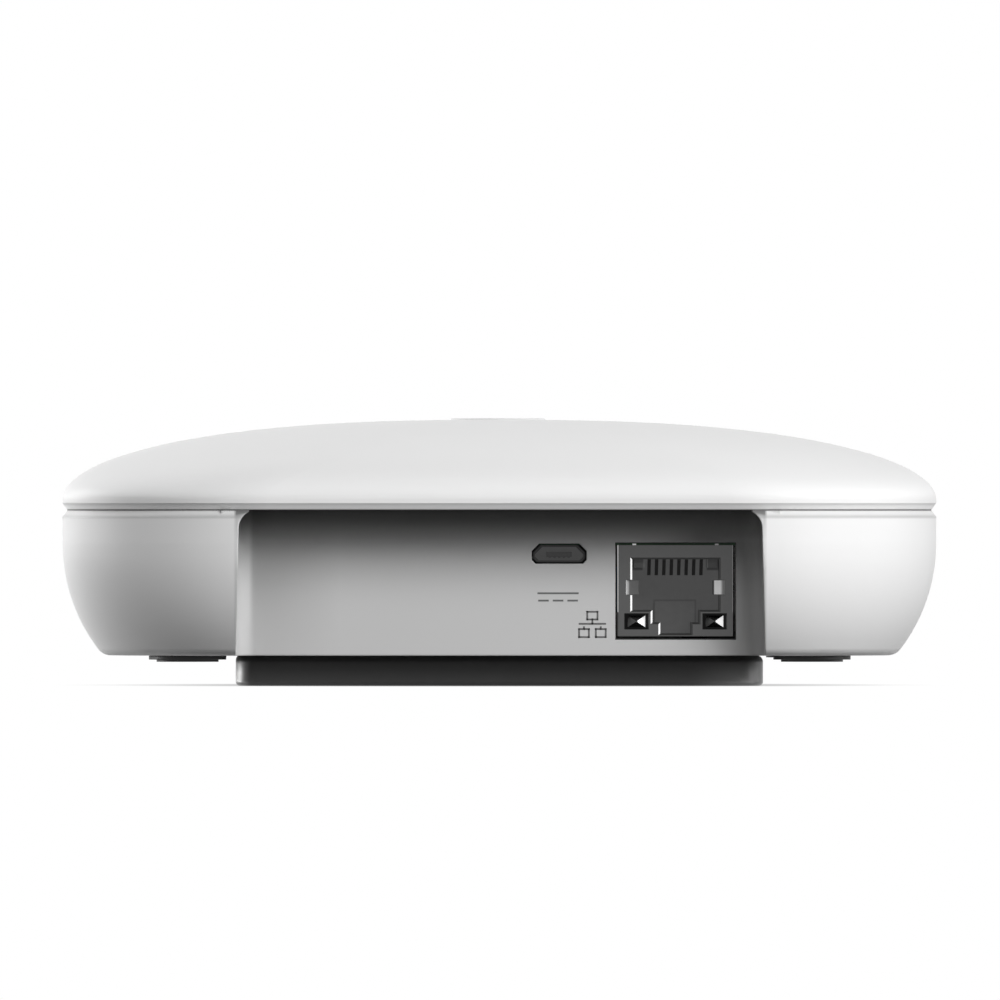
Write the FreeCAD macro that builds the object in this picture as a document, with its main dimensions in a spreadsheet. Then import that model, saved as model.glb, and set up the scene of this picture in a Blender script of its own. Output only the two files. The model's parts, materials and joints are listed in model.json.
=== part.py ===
import FreeCAD, Part
import math
import os
import Sketcher

# Alarm hub seen with its sockets to the rear. Millimetres, +Z up, the sockets face -Y.
# The origin is the middle of the underside of the wall bracket.

DRIVING_SIZES = [
    # outer form
    ("hub_width", 120),
    ("corner_radius", 28),
    ("casing_height", 19.95),
    ("rim_height", 1.45),
    ("dome_rise", 11),
    ("dome_power", 2.45),
    ("dome_roundness", 0.8),
    ("seam_depth", 0.7),
    ("seam_bevel", 0.95),
    ("casing_wall", 2),
    ("cover_wall", 1.6),
    ("floor_thickness", 1.8),
    ("flank_radius", 24),
    ("flank_height", 15.4),
    ("base_round", 2.2),
    ("tongue_width", 0.9),
    ("tongue_height", 1.3),
    # recess for the cables
    ("recess_width", 71.6),
    ("recess_depth", 11.5),
    ("recess_flare", 0.45),
    ("recess_round", 2.5),
    # wall bracket
    ("bracket_width", 72.4),
    ("bracket_height", 4.2),
    ("bracket_corner", 3),
    ("bracket_plate", 1.6),
    ("bracket_rim", 1.8),
    ("bracket_window", 26),
    ("bracket_travel", 8),
    ("hook_x", 31),
    ("hook_y", 26),
    ("hook_stem", 3),
    ("hook_head", 5),
    ("hook_head_height", 1.3),
    ("wall_screw_x", 40),
    ("wall_screw_y", 50),
    ("wall_screw_radius", 2.2),
    ("wall_screw_head_radius", 4.2),
    # feet and housing screws
    ("corner_screw_pitch", 85.6),
    ("foot_radius", 5.3),
    ("foot_rim_height", 0.55),
    ("foot_step_radius", 4.25),
    ("foot_step_height", 0.3),
    ("foot_plug_height", 2),
    ("boss_radius", 4),
    ("counterbore_radius", 2.6),
    ("counterbore_depth", 5.8),
    ("screw_radius", 1.25),
    ("screw_head_radius", 2.3),
    ("screw_head_height", 1.6),
    ("screw_head_bevel", 0.4),
    ("screw_drive_radius", 0.9),
    ("screw_drive_depth", 0.6),
    ("housing_screw_length", 18),
    # top button and light ring
    ("button_radius", 6.75),
    ("button_proud", 0.2),
    ("button_edge", 0.35),
    ("light_web_drop", 2.9),
    ("button_flange_radius", 8.4),
    ("button_flange_height", 1),
    ("button_travel", 0.4),
    ("light_ring_radius", 8.4),
    ("light_web_height", 1),
    ("light_skirt_radius", 10.6),
    ("light_skirt_wall", 1.5),
    # small board behind the button
    ("button_board_radius", 16),
    ("board_thickness", 1.6),
    ("button_board_drop", 9.3),
    ("board_boss_circle", 13),
    ("board_boss_radius", 2.2),
    ("small_screw_radius", 1),
    ("small_screw_head_radius", 2),
    ("small_screw_head_height", 1.3),
    ("small_screw_length", 5.8),
    ("tact_width", 6),
    ("tact_height", 3.4),
    ("tact_stem_radius", 1.6),
    ("tact_stem_length", 1),
    ("led_width", 2),
    ("led_height", 1.2),
    # main board
    ("main_board_half", 47),
    ("board_corner_gap", 2.3),
    ("main_board_gap", 13.35),
    ("standoff_inset", 4),
    ("standoff_front", 26),
    ("standoff_rear", 22),
    ("standoff_radius", 3),
    ("board_screw_length", 8),
    # network socket
    ("lan_x", 24.05),
    ("lan_width", 15.7),
    ("lan_height", 12.5),
    ("lan_length", 16),
    ("lan_sheet", 0.3),
    ("lan_setback", 0.5),
    ("plug_width", 11.9),
    ("plug_height", 6.95),
    ("plug_drop", 1.95),
    ("plug_depth", 12),
    ("plug_bevel", 0.25),
    ("latch_width", 6.35),
    ("latch_depth", 1.7),
    ("latch_slot_width", 4.2),
    ("latch_slot_depth", 1.5),
    ("contact_pitch", 1.02),
    ("contact_width", 0.46),
    ("contact_sheet", 0.3),
    ("contact_lift", 0.15),
    ("contact_dip", 2.35),
    ("contact_setback", 1.6),
    ("lan_lamp_width", 3.3),
    ("lan_lamp_height", 2.2),
    ("lan_lamp_x", 5.35),
    ("lan_lamp_z", 2.05),
    ("lan_lens_width", 2.4),
    ("lan_lens_height", 1.6),
    ("lan_lens_depth", 1),
    ("lan_lens_length", 2.9),
    ("groove_width", 0.66),
    ("groove_depth", 0.6),
    ("rib_x", 5),
    ("rib_width", 1.45),
    ("rib_height", 1.35),
    ("key_block_width", 5.6),
    ("key_block_height", 4.3),
    ("key_block_depth", 0.8),
    ("spring_drop", 5.8),
    ("spring_height", 1.9),
    ("spring_sheet", 0.2),
    ("spring_slot", 0.8),
    ("spring_bulge", 0.9),
    ("spring_length", 5.4),
    ("top_tab_width", 0.5),
    ("top_tab_length", 1.2),
    ("top_tab_x", 5.65),
    # micro power socket
    ("power_x", 8.1),
    ("power_width", 7.1),
    ("power_height", 2.35),
    ("power_length", 5.4),
    ("power_sheet", 0.25),
    ("power_bevel", 1),
    ("power_setback", 0.4),
    ("power_tongue_width", 3.45),
    ("power_tongue_height", 0.7),
    ("power_back", 0.8),
    ("power_tongue_setback", 1),
    ("power_contact_pitch", 0.65),
    ("power_contact_width", 0.35),
    ("power_contact_sheet", 0.1),
    # battery
    ("battery_x", -1),
    ("battery_y", 16),
    ("battery_length", 50),
    ("battery_width", 34),
    ("battery_height", 9.5),
    ("battery_round", 1.5),
    ("battery_pad", 0.8),
    ("cradle_wall", 1.2),
    ("cradle_height", 4),
    # siren
    ("siren_x", -14),
    ("siren_rear_gap", 6.8),
    ("siren_radius", 13.5),
    ("siren_wall", 1.2),
    ("siren_gasket", 0.8),
    ("siren_port_depth", 2.2),
    ("siren_cap", 1.5),
    ("siren_ledge", 1),
    ("sounder_thickness", 0.3),
    ("sound_hole_radius", 1),
    ("sound_hole_circle", 6),
    # tamper plunger
    ("tamper_x", 31),
    ("tamper_y", 4),
    ("tamper_radius", 1.5),
    ("tamper_collar_radius", 2.4),
    ("tamper_guide_height", 6),
    ("tamper_stroke", 1),
    ("tamper_collar_height", 1),
    ("tamper_tip_bevel", 0.3),
    ("tamper_pin_depth", 1.4),
    ("tamper_switch_width", 6.2),
    ("tamper_switch_height", 3.3),
    # reset switch
    ("reset_x", -42),
    ("reset_y", 8),
    ("reset_hole_radius", 0.9),
    ("reset_guide_height", 7),
    ("reset_travel", 0.25),
    ("reset_stem_radius", 1.2),
    ("reset_stem_length", 1),
    ("reset_well", 1.8),
    # parts on the main board
    ("part_gap", 1.3),
    ("processor_x", -2),
    ("processor_y", 6),
    ("processor_width", 14),
    ("processor_height", 1.4),
    ("can_width", 26),
    ("can_height", 3),
    ("can_sheet", 0.3),
    ("memory_width", 12),
    ("memory_depth", 9),
    ("memory_height", 1.1),
    ("cellular_width", 26),
    ("cellular_depth", 20),
    ("radio_width", 18),
    ("radio_depth", 15),
    ("module_height", 2.5),
    ("module_edge_gap", 3),
    ("transformer_width", 12.6),
    ("transformer_depth", 9.4),
    ("transformer_height", 5.8),
    ("inductor_width", 8),
    ("inductor_height", 4),
    ("capacitor_radius", 3.15),
    ("capacitor_height", 7.5),
    ("capacitor_pitch", 8),
    ("capacitor_edge_gap", 6.15),
    ("antenna_length", 30),
    ("antenna_height", 7),
    ("antenna_thickness", 0.8),
    ("antenna_inset", 2.5),
    ("header_y", -11),
    ("header_width", 12.7),
    ("header_depth", 2.54),
    ("connector_width", 6),
    ("connector_depth", 8),
    ("connector_height", 5),
    # clearances
    ("moving_gap", 0.1),
    ("fit_gap", 0.2),
    ("thread_gap", 0.02),
]


class Size:
    """A length that knows both its number and the sheet expression that gives it."""

    def __init__(self, text, number):
        self.text = text
        self.number = number

    def __float__(self):
        return float(self.number)

    def __add__(self, other):
        other = as_size(other)
        return Size(f"({self.text} + {other.text})", self.number + other.number)

    def __radd__(self, other):
        return as_size(other) + self

    def __sub__(self, other):
        other = as_size(other)
        return Size(f"({self.text} - {other.text})", self.number - other.number)

    def __rsub__(self, other):
        return as_size(other) - self

    def __mul__(self, other):
        other = as_size(other)
        return Size(f"({self.text} * {other.text})", self.number * other.number)

    def __rmul__(self, other):
        return as_size(other) * self

    def __truediv__(self, other):
        other = as_size(other)
        return Size(f"({self.text} / {other.text})", self.number / other.number)

    def __neg__(self):
        return Size(f"(0 - {self.text})", -self.number)


def as_size(value):
    if isinstance(value, Size):
        return value
    return Size(f"({value!r})", value)


def write_sheet(document, rows):
    """Fill the sheet of driving sizes and return them by name."""
    sheet = document.addObject("Spreadsheet::Sheet", "sizes")
    sizes = {}
    for number, (alias, amount) in enumerate(rows, start=1):
        sheet.set(f"A{number}", alias)
        sheet.set(f"B{number}", str(amount))
        sheet.setAlias(f"B{number}", alias)
        sizes[alias] = Size(f"sizes.{alias}", amount)
    document.recompute()
    return sizes


doc = FreeCAD.newDocument("alarm_hub")
S = write_sheet(doc, DRIVING_SIZES)
PIECES = []


# Helpers that make bound sketches and features

def bind(item, name, amount):
    """Set a property from the sheet, or as a plain number."""
    if isinstance(amount, Size):
        item.setExpression(name, amount.text)
    else:
        item.setExpression(name, repr(amount))


def new_body(label, x=0, y=0, z=0):
    body = doc.addObject("PartDesign::Body", label)
    body.Label = label
    for axis, amount in (("x", x), ("y", y), ("z", z)):
        bind(body, f"Placement.Base.{axis}", amount)
    return body


def keep(item):
    """List a finished sub-part for export."""
    PIECES.append(item)
    return item


def origin_plane(body, role):
    return next(f for f in body.Origin.OriginFeatures if f.Role == role)


def new_sketch(body, role, offset=0):
    """A sketch on one of the body's own planes, moved along that plane's normal."""
    sketch = body.newObject("Sketcher::SketchObject", body.Label + "_sketch")
    sketch.AttachmentSupport = [(origin_plane(body, role), "")]
    sketch.MapMode = "FlatFace"
    bind(sketch, "AttachmentOffset.Base.z", offset)
    return sketch


def pin_point(sketch, geometry, end, x, y):
    """Hold one end of a line, or a centre, at sheet coordinates."""
    for kind, amount in (("DistanceX", x), ("DistanceY", y)):
        rule = Sketcher.Constraint(kind, -1, 1, geometry, end, float(as_size(amount)))
        index = sketch.addConstraint(rule)
        bind(sketch, f"Constraints[{index}]", as_size(amount))


def circle(sketch, x, y, radius):
    centre = FreeCAD.Vector(float(as_size(x)), float(as_size(y)), 0)
    shape = Part.Circle(centre, FreeCAD.Vector(0, 0, 1), float(as_size(radius)))
    geometry = sketch.addGeometry(shape, False)
    pin_point(sketch, geometry, 3, x, y)
    index = sketch.addConstraint(Sketcher.Constraint("Radius", geometry, float(as_size(radius))))
    bind(sketch, f"Constraints[{index}]", as_size(radius))


def outline(sketch, corners):
    """Close a loop through corners, each (x, y) before a line or (x, y, radius) before an arc.

    An arc with a positive radius has its centre on the left of the way to the next corner.
    """
    count = len(corners)
    places = [FreeCAD.Vector(float(as_size(c[0])), float(as_size(c[1])), 0) for c in corners]
    ends = []
    for number, corner in enumerate(corners):
        here = places[number]
        there = places[(number + 1) % count]
        if len(corner) == 2:
            geometry = sketch.addGeometry(Part.LineSegment(here, there), False)
            ends.append((geometry, 1, 2))
            continue
        radius = float(as_size(corner[2]))
        chord = there - here
        side = FreeCAD.Vector(-chord.y, chord.x, 0).normalize()
        reach = math.sqrt(max(radius ** 2 - chord.Length ** 2 / 4, 0))
        centre = (here + there) * 0.5 + side * math.copysign(reach, radius)
        first, last = (here, there) if radius > 0 else (there, here)
        start = math.atan2(first.y - centre.y, first.x - centre.x)
        stop = math.atan2(last.y - centre.y, last.x - centre.x)
        if stop < start:
            stop += 2 * math.pi
        ring = Part.Circle(centre, FreeCAD.Vector(0, 0, 1), abs(radius))
        geometry = sketch.addGeometry(Part.ArcOfCircle(ring, start, stop), False)
        ends.append((geometry, 1, 2) if radius > 0 else (geometry, 2, 1))
    for number in range(count):
        geometry, _, tail = ends[number]
        following, head, _ = ends[(number + 1) % count]
        sketch.addConstraint(Sketcher.Constraint("Coincident", geometry, tail, following, head))
    for number, corner in enumerate(corners):
        geometry, head, _ = ends[number]
        pin_point(sketch, geometry, head, corner[0], corner[1])
        if len(corner) == 3:
            radius = corner[2] if float(as_size(corner[2])) > 0 else -corner[2]
            rule = Sketcher.Constraint("Radius", geometry, float(as_size(radius)))
            index = sketch.addConstraint(rule)
            bind(sketch, f"Constraints[{index}]", as_size(radius))


def rectangle(sketch, x, y, width, depth):
    """A rectangle about (x, y)."""
    left, right = x - width / 2, x + width / 2
    low, high = y - depth / 2, y + depth / 2
    outline(sketch, [(left, low), (right, low), (right, high), (left, high)])


def rounded_rectangle(sketch, x, y, width, depth, radius):
    """A rectangle about (x, y) whose corners are quarter circles."""
    left, right = x - width / 2, x + width / 2
    low, high = y - depth / 2, y + depth / 2
    outline(sketch, [
        (left + radius, low),
        (right - radius, low, radius),
        (right, low + radius),
        (right, high - radius, radius),
        (right - radius, high),
        (left + radius, high, radius),
        (left, high - radius),
        (left, low + radius, radius),
    ])


def pad(body, sketch, length, reverse=False, both=False):
    feature = body.newObject("PartDesign::Pad", body.Label + "_pad")
    feature.Profile = sketch
    bind(feature, "Length", length)
    feature.Reversed = reverse
    feature.Midplane = both
    doc.recompute()
    return feature


def pocket(body, sketch, length, reverse=False, both=False):
    """Cut along the sketch, and stop if the cut meets no material."""
    before = body.Shape.Volume
    feature = body.newObject("PartDesign::Pocket", body.Label + "_pocket")
    feature.Profile = sketch
    bind(feature, "Length", length)
    feature.Reversed = reverse
    feature.Midplane = both
    doc.recompute()
    if body.Shape.Volume > before - 1e-4:
        raise RuntimeError(f"{feature.Label} cuts nothing")
    return feature


def revolve(body, sketch):
    feature = body.newObject("PartDesign::Revolution", body.Label + "_turned")
    feature.Profile = sketch
    feature.ReferenceAxis = (sketch, ["V_Axis"])
    feature.Angle = 360
    doc.recompute()
    return feature


def round_edges(body, radius, chosen):
    """Fillet the edges of the body's tip that the test picks."""
    tip = body.Tip
    names = [f"Edge{n}" for n, edge in enumerate(tip.Shape.Edges, start=1) if chosen(edge)]
    feature = body.newObject("PartDesign::Fillet", body.Label + "_fillet")
    feature.Base = (tip, names)
    bind(feature, "Radius", radius)
    doc.recompute()
    return feature


def turned(label, profile, x=0, y=0):
    """A body of revolution about the vertical through (x, y), from (radius, height) corners."""
    body = new_body(label, x, y)
    sketch = new_sketch(body, "XZ_Plane")
    outline(sketch, profile)
    revolve(body, sketch)
    return body


def disc(label, radius, low, high, x=0, y=0):
    return turned(label, [(0, low), (radius, low), (radius, high), (0, high)], x, y)


def block(label, x, y, low, width, depth, height, radius=None):
    """A plain or round-cornered block that stands on the height called low."""
    body = new_body(label, x, y)
    sketch = new_sketch(body, "XY_Plane", low)
    if radius is None:
        rectangle(sketch, as_size(0), as_size(0), as_size(width), as_size(depth))
    else:
        rounded_rectangle(sketch, as_size(0), as_size(0), as_size(width), as_size(depth),
                          as_size(radius))
    pad(body, sketch, height)
    return body


def combine(kind, label, members):
    """A boolean of finished objects: MultiFuse, Compound, or Cut of the first by the second."""
    item = doc.addObject(f"Part::{kind}", label)
    item.Label = label
    if kind == "Cut":
        item.Base, item.Tool = members
    elif kind == "Compound":
        item.Links = members
    else:
        item.Shapes = members
    doc.recompute()
    return item


def mirror(source, normal):
    item = doc.addObject("Part::Mirroring", source.Label + "_mirror")
    item.Source = source
    item.Normal = normal
    doc.recompute()
    return item


def four_corners(label, source):
    """Repeat a corner piece in all four corners as one group of separate solids."""
    across = mirror(source, FreeCAD.Vector(1, 0, 0))
    pair = combine("Compound", label + "_pair", [source, across])
    behind = mirror(pair, FreeCAD.Vector(0, 1, 0))
    return combine("Compound", label, [pair, behind])


# Heights and places that several pieces share

half = S["hub_width"] / 2
floor_low = S["bracket_height"]
floor_top = floor_low + S["floor_thickness"]
seam = floor_low + S["casing_height"]
rim = seam + S["rim_height"]
crown = rim + S["dome_rise"]
board_low = floor_top + S["main_board_gap"]
board_top = board_low + S["board_thickness"]
screw_at = S["corner_screw_pitch"] / 2
wall_face = half - S["recess_depth"]
wall_back = wall_face - S["casing_wall"]
button_board_top = crown - S["button_board_drop"]
button_board_low = button_board_top - S["board_thickness"]
button_stem_low = button_board_top + S["tact_height"] + S["tact_stem_length"]
board_rear = wall_back - S["fit_gap"]
standoff_x = S["main_board_half"] - S["standoff_inset"]
siren_y = S["siren_rear_gap"] + S["siren_radius"] - board_rear
siren_low = floor_top + S["siren_gasket"]
board_boss_places = [(S["board_boss_circle"] * math.cos(math.radians(degrees)),
                      S["board_boss_circle"] * math.sin(math.radians(degrees)))
                     for degrees in (90, 210, 330)]


# Lower casing: a swept flank, a floor, and the recess that holds the sockets

def casing_flank(body):
    """Sweep the wall section round the plan of the hub."""
    path = new_sketch(body, "XY_Plane")
    rounded_rectangle(path, as_size(0), as_size(0), S["hub_width"], S["hub_width"],
                      S["corner_radius"])
    section = new_sketch(body, "XZ_Plane")
    flank_top = floor_low + S["flank_height"]
    flank_axis = half - S["flank_radius"]
    # The flank's arc meets the small bottom round where both touch the tangent circle.
    rise = float(S["flank_radius"] - S["base_round"])
    drop = float(S["flank_height"] - S["base_round"])
    run = math.sqrt(rise ** 2 - drop ** 2)
    round_x = float(flank_axis) + run
    round_z = float(floor_low) + float(S["base_round"])
    scale = float(S["flank_radius"]) / rise
    meet_x = float(flank_axis) + run * scale
    meet_z = float(flank_top) - drop * scale
    inner_radius = S["flank_radius"] - S["casing_wall"]
    inner_low = math.sqrt(float(inner_radius) ** 2 - float(flank_top - floor_top) ** 2)
    inner_wall = half - S["casing_wall"]
    tongue_out = half - S["cover_wall"] - S["moving_gap"]
    tongue_in = tongue_out - S["tongue_width"]
    tongue_root = seam - S["tongue_height"]
    core = half - S["corner_radius"] / 2
    outline(section, [
        (core, floor_low),
        (round_x, floor_low, S["base_round"]),
        (meet_x, meet_z, S["flank_radius"]),
        (half, flank_top),
        (half, seam - S["seam_bevel"]),
        (half - S["seam_depth"], seam),
        (tongue_out, seam),
        (tongue_out, seam + S["tongue_height"]),
        (tongue_in, seam + S["tongue_height"]),
        (tongue_in, tongue_root),
        (inner_wall, tongue_root - (inner_wall - tongue_in)),
        (inner_wall, flank_top, -inner_radius),
        (float(flank_axis) + inner_low, floor_top),
        (core, floor_top),
    ])
    flank = body.newObject("PartDesign::AdditivePipe", "casing_flank")
    flank.Profile = section
    flank.Spine = (path, [])
    doc.recompute()
    floor = new_sketch(body, "XY_Plane", floor_low)
    width = 2 * core + 1
    rounded_rectangle(floor, as_size(0), as_size(0), width, width, S["corner_radius"] / 2)
    pad(body, floor, S["floor_thickness"])


def casing_recess(body):
    """Wall off the cable recess and open it to the rear and downwards."""
    side = S["recess_width"] / 2 + S["recess_flare"]
    outer = half - S["casing_wall"] / 2
    bulge = S["flank_radius"] - S["casing_wall"] / 2
    flank_top = floor_low + S["flank_height"]
    box = new_sketch(body, "YZ_Plane")
    foot_z = float(floor_low) + float(S["base_round"]) * 0.6
    foot_y = float(half - S["flank_radius"]) + math.sqrt(
        float(bulge) ** 2 - (float(flank_top) - foot_z) ** 2)
    outline(box, [
        (-wall_back, floor_low),
        (-wall_back, seam),
        (-outer, seam),
        (-outer, flank_top, bulge),
        (-foot_y, foot_z),
        (-foot_y + float(S["base_round"]) * 0.6, floor_low),
    ])
    pad(body, box, 2 * (side + S["casing_wall"]), both=True)
    # The mouth is a little wider at the bottom and has two round upper corners.
    opening = new_sketch(body, "XZ_Plane", wall_face)
    top = S["recess_width"] / 2
    cut = S["recess_round"] * 0.56
    drop = float(S["recess_round"]) - math.sqrt(
        float(S["recess_round"]) ** 2 - float(S["recess_round"] - cut) ** 2)
    low = floor_low - 1
    outline(opening, [
        (-side, low),
        (side, low),
        (top, seam - S["recess_round"], S["recess_round"]),
        (top - cut, seam - drop),
        (top - cut, seam + S["tongue_height"]),
        (-top + cut, seam + S["tongue_height"]),
        (-top + cut, seam - drop, S["recess_round"]),
        (-top, seam - S["recess_round"]),
    ])
    pocket(body, opening, S["recess_depth"] + 1, reverse=True)
    # The cover's roof over the recess takes the place of the tongue here.
    roof = new_sketch(body, "XY_Plane", seam)
    rectangle(roof, as_size(0), -(half + wall_back) / 2, 2 * (side + S["casing_wall"]) + 1,
              half - wall_back)
    pocket(body, roof, S["tongue_height"] + 1, reverse=True)
    for sign in (-1, 1):
        recess_cove(body, sign)


def recess_cove(body, sign):
    """Round the corner between a side of the recess and its back wall."""
    radius = S["recess_round"]
    sections = []
    for height, reach in ((floor_low, S["recess_width"] / 2 + S["recess_flare"]),
                          (seam, S["recess_width"] / 2)):
        sketch = new_sketch(body, "XY_Plane", height)
        outline(sketch, [
            (sign * reach, -wall_face - radius),
            (sign * (reach + 1), -wall_face - radius),
            (sign * (reach + 1), -wall_face + 1),
            (sign * (reach - radius), -wall_face + 1),
            (sign * (reach - radius), -wall_face, -sign * radius),
        ])
        sections.append(sketch)
    cove = body.newObject("PartDesign::AdditiveLoft", "recess_cove")
    cove.Profile = sections[0]
    cove.Sections = sections[1:]
    cove.Ruled = True
    doc.recompute()


def socket_holes(body):
    """Cut the windows of the two sockets through the back wall of the recess."""
    cut = new_sketch(body, "XZ_Plane", wall_face)
    lan_z = board_low - S["lan_height"] / 2
    rectangle(cut, S["lan_x"], lan_z, S["lan_width"] + 3 * S["fit_gap"],
              S["lan_height"] + 3 * S["fit_gap"])
    gap = S["fit_gap"]
    wide = S["power_width"] / 2 + gap
    bevel = S["power_bevel"]
    x = S["power_x"]
    high = board_low + gap
    low = board_low - S["power_height"] - gap
    outline(cut, [
        (x - wide + bevel / 2, low),
        (x + wide - bevel / 2, low),
        (x + wide, low + bevel / 2),
        (x + wide, high - bevel),
        (x + wide - bevel, high),
        (x - wide + bevel, high),
        (x - wide, high - bevel),
        (x - wide, low + bevel / 2),
    ])
    pocket(body, cut, S["casing_wall"] + 0.5)


def corner_circles(sketch, radius):
    for x in (-screw_at, screw_at):
        for y in (-screw_at, screw_at):
            circle(sketch, x, y, radius)


def casing_posts(body):
    """Screw bosses, board posts, guide tubes and the battery cradle."""
    bosses = new_sketch(body, "XY_Plane", floor_top)
    corner_circles(bosses, S["boss_radius"])
    pad(body, bosses, seam - floor_top)
    posts = new_sketch(body, "XY_Plane", floor_top)
    for x in (-standoff_x, standoff_x):
        circle(posts, x, S["standoff_front"], S["standoff_radius"])
        circle(posts, x, -S["standoff_rear"], S["standoff_radius"])
    pad(body, posts, S["main_board_gap"])
    guides = new_sketch(body, "XY_Plane", floor_top)
    circle(guides, S["tamper_x"], S["tamper_y"], S["tamper_collar_radius"])
    pad(body, guides, S["tamper_guide_height"])
    tube = new_sketch(body, "XY_Plane", floor_top)
    circle(tube, S["reset_x"], S["reset_y"], S["reset_hole_radius"] + S["cradle_wall"])
    pad(body, tube, S["reset_guide_height"])
    cradle = new_sketch(body, "XY_Plane", floor_top)
    inside = 2 * S["fit_gap"]
    outside = inside + 2 * S["cradle_wall"]
    rectangle(cradle, S["battery_x"], S["battery_y"], S["battery_length"] + inside,
              S["battery_width"] + inside)
    rectangle(cradle, S["battery_x"], S["battery_y"], S["battery_length"] + outside,
              S["battery_width"] + outside)
    pad(body, cradle, S["cradle_height"])


def casing_holes(body):
    """Everything that is drilled or slotted through the casing from below."""
    seats = new_sketch(body, "XY_Plane", floor_low)
    corner_circles(seats, S["counterbore_radius"])
    pocket(body, seats, S["counterbore_depth"], reverse=True)
    shanks = new_sketch(body, "XY_Plane", floor_low)
    corner_circles(shanks, S["screw_radius"] + S["fit_gap"])
    pocket(body, shanks, S["casing_height"] + 1, reverse=True)
    pilots = new_sketch(body, "XY_Plane", board_low)
    for x in (-standoff_x, standoff_x):
        circle(pilots, x, S["standoff_front"], S["screw_radius"] + S["thread_gap"])
        circle(pilots, x, -S["standoff_rear"], S["screw_radius"] + S["thread_gap"])
    pocket(body, pilots, S["board_screw_length"])
    small = new_sketch(body, "XY_Plane", floor_low)
    circle(small, S["tamper_x"], S["tamper_y"], S["tamper_radius"] + S["moving_gap"])
    circle(small, S["reset_x"], S["reset_y"], S["reset_hole_radius"])
    pocket(body, small, S["reset_guide_height"] + S["floor_thickness"] + 1, reverse=True)
    sound = new_sketch(body, "XY_Plane", floor_low)
    circle(sound, S["siren_x"], siren_y, S["sound_hole_radius"])
    for number in range(6):
        turn = math.radians(60 * number)
        circle(sound, S["siren_x"] + S["sound_hole_circle"] * math.cos(turn),
               siren_y + S["sound_hole_circle"] * math.sin(turn), S["sound_hole_radius"])
    pocket(body, sound, S["floor_thickness"] + 1, reverse=True)
    # Each keyhole takes a hook's head at its wide end and holds its stem in the narrow slot.
    keyholes = new_sketch(body, "XY_Plane", floor_low)
    stem = S["hook_stem"] / 2 + S["fit_gap"]
    head = S["hook_head"] / 2 + 2 * S["fit_gap"]
    for x in (-S["hook_x"], S["hook_x"]):
        for end in (S["hook_y"], -S["hook_y"]):
            entry = end + S["bracket_travel"]
            outline(keyholes, [
                (x - stem, end - stem),
                (x + stem, end - stem),
                (x + stem, entry - head),
                (x + head, entry - head),
                (x + head, entry + head),
                (x - head, entry + head),
                (x - head, entry - head),
                (x - stem, entry - head),
            ])
    pocket(body, keyholes, S["floor_thickness"] + 1, reverse=True)


def make_base_housing():
    body = new_body("base_housing")
    casing_flank(body)
    casing_recess(body)
    socket_holes(body)
    casing_posts(body)
    casing_holes(body)
    return keep(body)


# Top cover: a dome whose plan runs from a rounded square at the rim to a circle at the button

def corner_share(share, start):
    """The share of the half width that is corner, where the half width is a share of the rim's."""
    growth = 1 - math.exp(-3 * (1 - share))
    return start + (1 - start) * float(S["dome_roundness"]) * growth


def dome_rings(reach, corner, rise, rows):
    """Rounded squares (half width, corner radius, height) that climb the dome from its rim."""
    power = float(S["dome_power"])
    top_reach = float(S["light_ring_radius"]) * 0.8
    last = math.acos((top_reach / reach) ** (power / 2))
    rings = []
    for row in range(rows + 1):
        climb = last * row / rows
        share = math.cos(climb) ** (2 / power)
        width = reach * share
        rings.append((width, width * corner_share(share, corner / reach),
                      float(rim) + rise * math.sin(climb)))
    return rings


def skin(rings):
    """One side and the corner after it, as smooth faces through rounded squares."""
    rows = []
    for width, corner, height in rings:
        flat = width - corner
        rows.append([(width, -flat, height), (width, flat, height), (width, width, height),
                     (flat, width, height)])
    columns = []
    for column in zip(*rows):
        curve = Part.BSplineCurve()
        curve.interpolate(Points=[FreeCAD.Vector(*place) for place in column],
                          Parameters=list(range(len(rings))))
        columns.append(curve)
    faces = []
    for chosen, weights in ((columns[:2], [1, 1]), (columns[1:], [1, math.sqrt(0.5), 1])):
        poles = [list(row) for row in zip(*(curve.getPoles() for curve in chosen))]
        surface = Part.BSplineSurface()
        surface.buildFromPolesMultsKnots(
            poles, chosen[0].getMultiplicities(), [len(chosen)] * 2, chosen[0].getKnots(), [0, 1],
            False, False, chosen[0].Degree, len(chosen) - 1, [weights] * len(poles))
        faces.append(surface.toShape())
    return faces


def dome_form(rings, foot, smooth):
    """A solid dome over an upright wall, whose rings below the rim come lowest first."""
    levels = foot + (rings[:1] if smooth else rings)
    quarter = skin(rings) if smooth else []
    for low, high in zip(levels, levels[1:]):
        quarter += skin([low, high])
    faces = []
    for number in range(4):
        for face in quarter:
            copy = face.copy()
            copy.rotate(FreeCAD.Vector(), FreeCAD.Vector(0, 0, 1), 90 * number)
            faces.append(copy)
    for height in (levels[0][2], rings[-1][2]):
        ring = [edge for face in faces for edge in face.Edges
                if all(abs(corner.Z - height) < 1e-6 for corner in edge.Vertexes)]
        faces.append(Part.Face(Part.Wire(Part.__sortEdges__(ring))))
    shell = Part.makeShell(faces)
    shell.sewShape()
    solid = Part.makeSolid(shell)
    if solid.Volume < 0:
        solid.reverse()
    return solid


def cover_form():
    """The outside of the cover, with the bevel that makes half of the seam's groove."""
    reach, corner = float(half), float(S["corner_radius"])
    depth = float(S["seam_depth"])
    foot = [(reach - depth, corner - depth, float(seam)),
            (reach, corner, float(seam + S["seam_bevel"]))]
    item = doc.addObject("Part::Feature", "cover_form")
    item.Shape = dome_form(dome_rings(reach, corner, float(S["dome_rise"]), 8), foot, True)
    return item


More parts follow.
